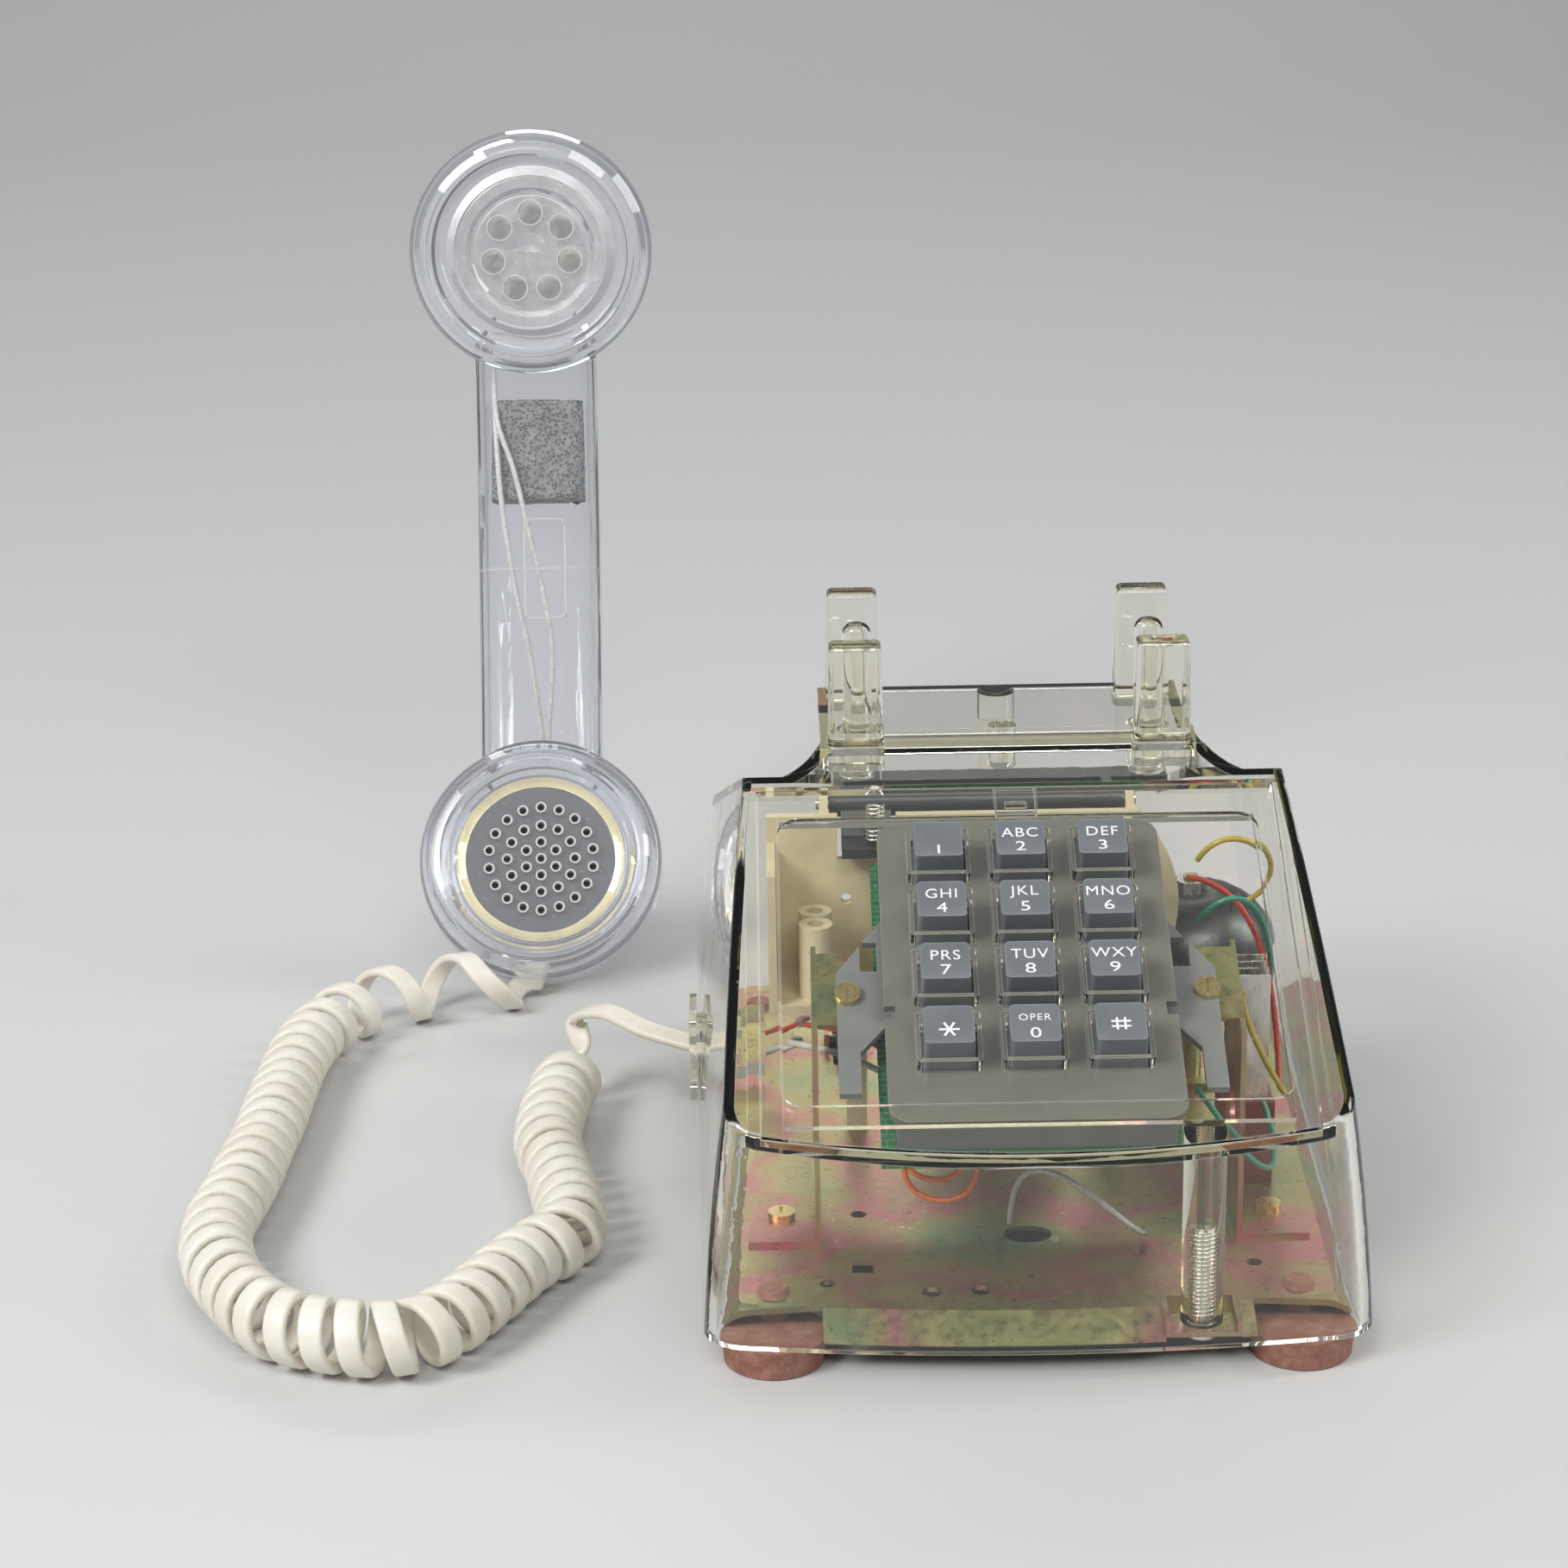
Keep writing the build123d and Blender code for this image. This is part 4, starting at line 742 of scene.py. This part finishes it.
def helix_mesh(name, place, low_z, high_z, radius, wire_radius, turns):
    """A round wire wound round the upright line through a place."""
    steps = round(turns * 28)
    points = []
    for i in range(steps + 1):
        angle = math.tau * turns * i / steps
        rise = low_z + (high_z - low_z) * i / steps
        points.append(Vector((place.x + radius * math.cos(angle), place.y + radius * math.sin(angle), rise)))
    return swept(name, points, round_section(wire_radius, 8))


def hook_coil():
    """The hook spring's turns, an even helix riding on the hook spring's body."""
    low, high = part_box("hook_spring")
    mid, inset = (low + high) / 2, 0.4 * MM
    radius = (high.x - low.x) / 2 - inset
    mesh = helix_mesh("hook_coil", mid, low.z + inset, high.z - inset, radius, 0.35 * MM, 7)
    piece = new_piece("hook_coil", mesh, NICKEL, body_of("hook_spring"))
    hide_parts("hook_spring")
    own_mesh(piece)


def screw_threads():
    """The threads on the shanks of the two screws that hold the housing down."""
    parts = []
    for island in islands(NODES["housing_screws"].data):
        low, high = box_of(island)
        parts.append(helix_mesh("thread", (low + high) / 2, high.z - THREAD_END, high.z - THREAD_START,
                                THREAD_R, 0.3 * MM, 20))
    new_piece("screw_threads", merged("screw_threads", parts), NICKEL, body_of("housing_screws"))


def coil_winding():
    """Close turns of enamelled wire on the ringer's bobbin."""
    low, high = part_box("ringer_coil")
    mid = (low + high) / 2
    reach = (high.z - low.z) / 2 - 0.15 * MM
    steps = WINDING_TURNS * WINDING_SIDES
    points = []
    for i in range(steps + 1):
        angle = math.tau * i / WINDING_SIDES
        along = low.x + CHEEK + (high.x - low.x - 2 * CHEEK) * i / steps
        points.append(Vector((along, mid.y + reach * math.cos(angle), mid.z + reach * math.sin(angle))))
    mesh = swept("coil_winding", points, round_section(0.29 * MM, 6), ACROSS)
    new_piece("coil_winding", mesh, COPPER, body_of("ringer_coil"))


hook_coil()
screw_threads()
coil_winding()


# ---------------------------------------------------------------- handset
FOAM_DROP, FOAM_GROWN = 11.0, 1.1                # mm slid down the handle, and times swollen
WIRE_R, OUTLINE_R, PARTING_R = 0.75 * MM, 0.16 * MM, 0.12 * MM
CAP_DISH = 5.2 * MM                              # how far a cap's face lies behind its foremost ring
RIM_SIDES = 20


def handle_place(x, y, z):
    """A place in the handle, counted in mm from the middle of the foam's seat: across, up the handle, out."""
    out = front_normal("handset_foam")
    return middle("handset_foam") + (ACROSS * x + out.cross(ACROSS) * y + out * z) * MM


def handset_wires():
    """The two white wires that run down the handle, over the foam."""
    first = ((-12.6, 13.5, 2.0), (-11.0, -2.9, 7.4), (-6.5, -17.3, 7.8), (-2.2, -36.5, 8.1),
             (1.0, -50.9, 8.2), (3.4, -68.7, 7.6), (1.9, -90.0, 4.8), (1.6, -95.0, 3.4))
    second = ((-12.8, 8.0, 2.6), (-11.6, -4.0, 6.9), (-10.1, -25.5, 7.9), (-7.0, -48.5, 8.2),
              (-2.9, -68.7, 7.6), (-0.2, -90.0, 4.8), (0.1, -95.0, 3.4))
    meshes = [wire_mesh("handset_wire", [handle_place(*point) for point in run], WIRE_R)
              for run in (first, second)]
    mesh = merged("handset_wire_pair", meshes)
    piece = new_piece("handset_wire_pair", mesh, WHITE_WIRE, body_of("handset_wires"))
    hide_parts("handset_wires")


def handle_marks():
    """The pale edges of the raised outline and of the parting line on the front of the handle: frosted edges,
    painted pale also as a highlight along them.
    """
    middle_y = -45
    turn = [handle_place(2 + x, middle_y + y, 12.4) for x, y in flat_section(11.4, 27.8, 1.8, 6)]
    outline = wire_mesh("outline", [*turn, turn[0]], OUTLINE_R)
    line = [handle_place(x, middle_y, 12.0 - (max(abs(x) - 10, 0) / 7) ** 2 * 6)
            for x in (-16.4, -14, -11, -6, 0, 6, 11, 14, 16.4)]
    mesh = merged("handle_marks", [outline, wire_mesh("parting", line, PARTING_R)])
    new_piece("handle_marks", mesh, FROST_AND_HIGHLIGHT, body_of("handset_shell"))


def foam_block():
    """The foam block in the handle: soft corners, bulging faces and open pores."""
    mesh = bpy.data.meshes.new("foam_block")
    work = bmesh.new()
    work.from_mesh(NODES["handset_foam"].data)
    bmesh.ops.remove_doubles(work, verts=work.verts, dist=1e-7)
    bmesh.ops.triangulate(work, faces=work.faces)
    for _ in range(4):
        long_edges = [e for e in work.edges if e.calc_length() > 1.6 * MM]
        if not long_edges:
            break
        bmesh.ops.subdivide_edges(work, edges=long_edges, cuts=1)
        bmesh.ops.triangulate(work, faces=[f for f in work.faces if len(f.verts) > 3])
    seat = handle_place(0, 0, 0)
    for vert in work.verts:
        vert.co = handle_place(0, -FOAM_DROP, 0) + (vert.co - seat) * FOAM_GROWN
    work.normal_update()
    shifts = []
    for vert in work.verts:
        pore = noise.noise(vert.co * 900) * 0.22 + noise.noise(vert.co * 2300 + Vector((9, 2, 5))) * 0.2
        swell = noise.noise(vert.co * 110) * 0.35
        shifts.append(vert.co + vert.normal * (pore + swell - 0.35) * MM)
    for vert, place in zip(work.verts, shifts):
        vert.co = place
    for face in work.faces:
        face.smooth = True
    work.to_mesh(mesh)
    work.free()
    piece = new_piece("foam_block", mesh, FOAM, body_of("handset_foam"))
    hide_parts("handset_foam")


def hole_rims(cap, name, radius, width, places):
    """The rough countersunk rims of a cap's sound holes, pale both as frosted edges and as a painted
    highlight round each hole; places are (mm from the middle, degrees).
    """
    out = front_normal(cap.replace("cap", "unit"))
    up_way = out.cross(ACROSS)
    centre = cap_centre(cap, out) - out * CAP_DISH
    mesh = bpy.data.meshes.new(name)
    work = bmesh.new()
    edge = radius + width
    profile = ((radius, -0.5), (radius, 0.0), (radius + width * 0.3, 0.12), (radius + width * 0.7, 0.12),
               (edge, 0.0), (edge, -0.12))
    for reach, degrees in places:
        a = math.radians(degrees)
        hole = centre + (ACROSS * math.cos(a) + up_way * math.sin(a)) * reach * MM
        loops = []
        for i in range(RIM_SIDES):
            b = math.tau * i / RIM_SIDES
            spoke = ACROSS * math.cos(b) + up_way * math.sin(b)
            loops.append([work.verts.new(hole + (spoke * r + out * h) * MM) for r, h in profile])
        for one, two in zip(loops, loops[1:] + loops[:1]):
            for j in range(len(profile)):
                k = (j + 1) % len(profile)
                work.faces.new((one[j], one[k], two[k], two[j])).smooth = True
    bmesh.ops.recalc_face_normals(work, faces=work.faces)
    work.to_mesh(mesh)
    work.free()
    new_piece(name, mesh, FROST_AND_HIGHLIGHT, body_of(cap))


def front_normal(unit):
    """The way a handset piece faces: the commonest normal, by area, of the faces that look to the front."""
    best, most = None, 0.0
    tally = {}
    for face in NODES[unit].data.polygons:
        if face.normal.y < -0.3:
            key = tuple(round(c, 2) for c in face.normal)
            tally[key] = tally.get(key, 0.0) + face.area
            if tally[key] > most:
                best, most = face.normal.copy(), tally[key]
    return best.normalized()


def cap_centre(cap, out):
    """The middle of a cap's face: on the cap's axis, level with its foremost ring."""
    points = [v.co for v in NODES[cap].data.vertices]
    front = max(p.dot(out) for p in points)
    ring = [p for p in points if p.dot(out) > front - 0.05 * MM]
    return sum(ring, Vector()) / len(ring)


def ring_places(rings):
    """Evenly spaced holes on rings: (distance, count) pairs, from the top round."""
    return [(reach, 90 + 360 * i / count) for reach, count in rings for i in range(count)]


foam_block()
handset_wires()
handle_marks()
hole_rims("transmitter_cap", "transmitter_hole_rims", 1.06, 0.5,
          ring_places(((0, 1), (4.7, 6), (9.4, 12), (14.6, 18))))
hole_rims("receiver_cap", "receiver_hole_rims", 3.32, 0.3, ring_places(((10.9, 7),)))


# ---------------------------------------------------------------- light, floor and camera
def area_light(name, place, size, power):
    """A soft white rectangular light aimed at the middle of the telephone."""
    data = bpy.data.lights.new(name, "AREA")
    data.shape = "RECTANGLE"
    data.size, data.size_y = size
    data.energy = power
    lamp = bpy.data.objects.new(name, data)
    bpy.context.scene.collection.objects.link(lamp)
    lamp.location = place
    lamp.rotation_euler = (LIGHT_AIM - Vector(place)).to_track_quat("-Z", "Y").to_euler()


def stage_floor():
    """A pale floor that curves up into a backdrop far behind."""
    mesh = bpy.data.meshes.new("floor")
    work = bmesh.new()
    back, radius, wide = 2.6, 1.2, 6.0
    profile = [(-4.0, 0.0), (back - radius, 0.0)]
    for i in range(1, 13):
        a = math.pi / 2 * i / 12
        profile.append((back - radius + radius * math.sin(a), radius - radius * math.cos(a)))
    profile.append((back, 4.0))
    rows = [[work.verts.new((x, y, z - 0.0003)) for x in (-wide, wide)] for y, z in profile]
    for a, b in zip(rows, rows[1:]):
        work.faces.new((a[0], a[1], b[1], b[0])).smooth = True
    work.to_mesh(mesh)
    work.free()
    floor = bpy.data.objects.new("floor", mesh)
    bpy.context.scene.collection.objects.link(floor)
    shader = Shader("pale_floor", (0.62, 0.62, 0.61), 0.6)
    shader.bump(shader.noise(0.002, 2), 0.00002, 0.2)
    finish_with(floor, shader.material)


stage_floor()
LIGHT_AIM = Vector((0.0, 0.0, 0.08))
area_light("key_soft", (-0.95, -0.75, 1.15), (0.6, 0.6), 17)
area_light("front_soft", (0.35, -1.15, 1.35), (0.9, 0.35), 9)
area_light("right_strip", (1.25, 0.1, 0.75), (0.25, 0.9), 6)
area_light("back_strip", (-0.2, 1.7, 1.3), (1.4, 0.3), 7)

world = bpy.data.worlds.new("studio")
world.use_nodes = True
world.node_tree.nodes["Background"].inputs["Color"].default_value = (0.82, 0.85, 0.9, 1)
world.node_tree.nodes["Background"].inputs["Strength"].default_value = 0.32
bpy.context.scene.world = world

camera_data = bpy.data.cameras.new("camera")
camera_data.lens = 86.7
camera_data.sensor_width = 36
camera = bpy.data.objects.new("camera", camera_data)
bpy.context.scene.collection.objects.link(camera)
turn, pitch, roll = math.radians(-0.12), math.radians(19.68), math.radians(-0.98)
stand = Matrix.Translation(HOME + Vector((-56.3, -739.4, 405.9)) * MM)
camera.matrix_world = (stand @ Matrix.Rotation(turn, 4, "Z") @ Matrix.Rotation(math.pi / 2 - pitch, 4, "X")
                       @ Matrix.Rotation(roll, 4, "Z"))
bpy.context.scene.camera = camera

scene = bpy.context.scene
scene.cycles.max_bounces = 20
scene.cycles.transmission_bounces = 20
scene.cycles.transparent_max_bounces = 24
scene.cycles.glossy_bounces = 6
scene.cycles.caustics_reflective = False
scene.cycles.caustics_refractive = False
scene.view_settings.view_transform = "Standard"
scene.view_settings.look = "Medium Contrast"
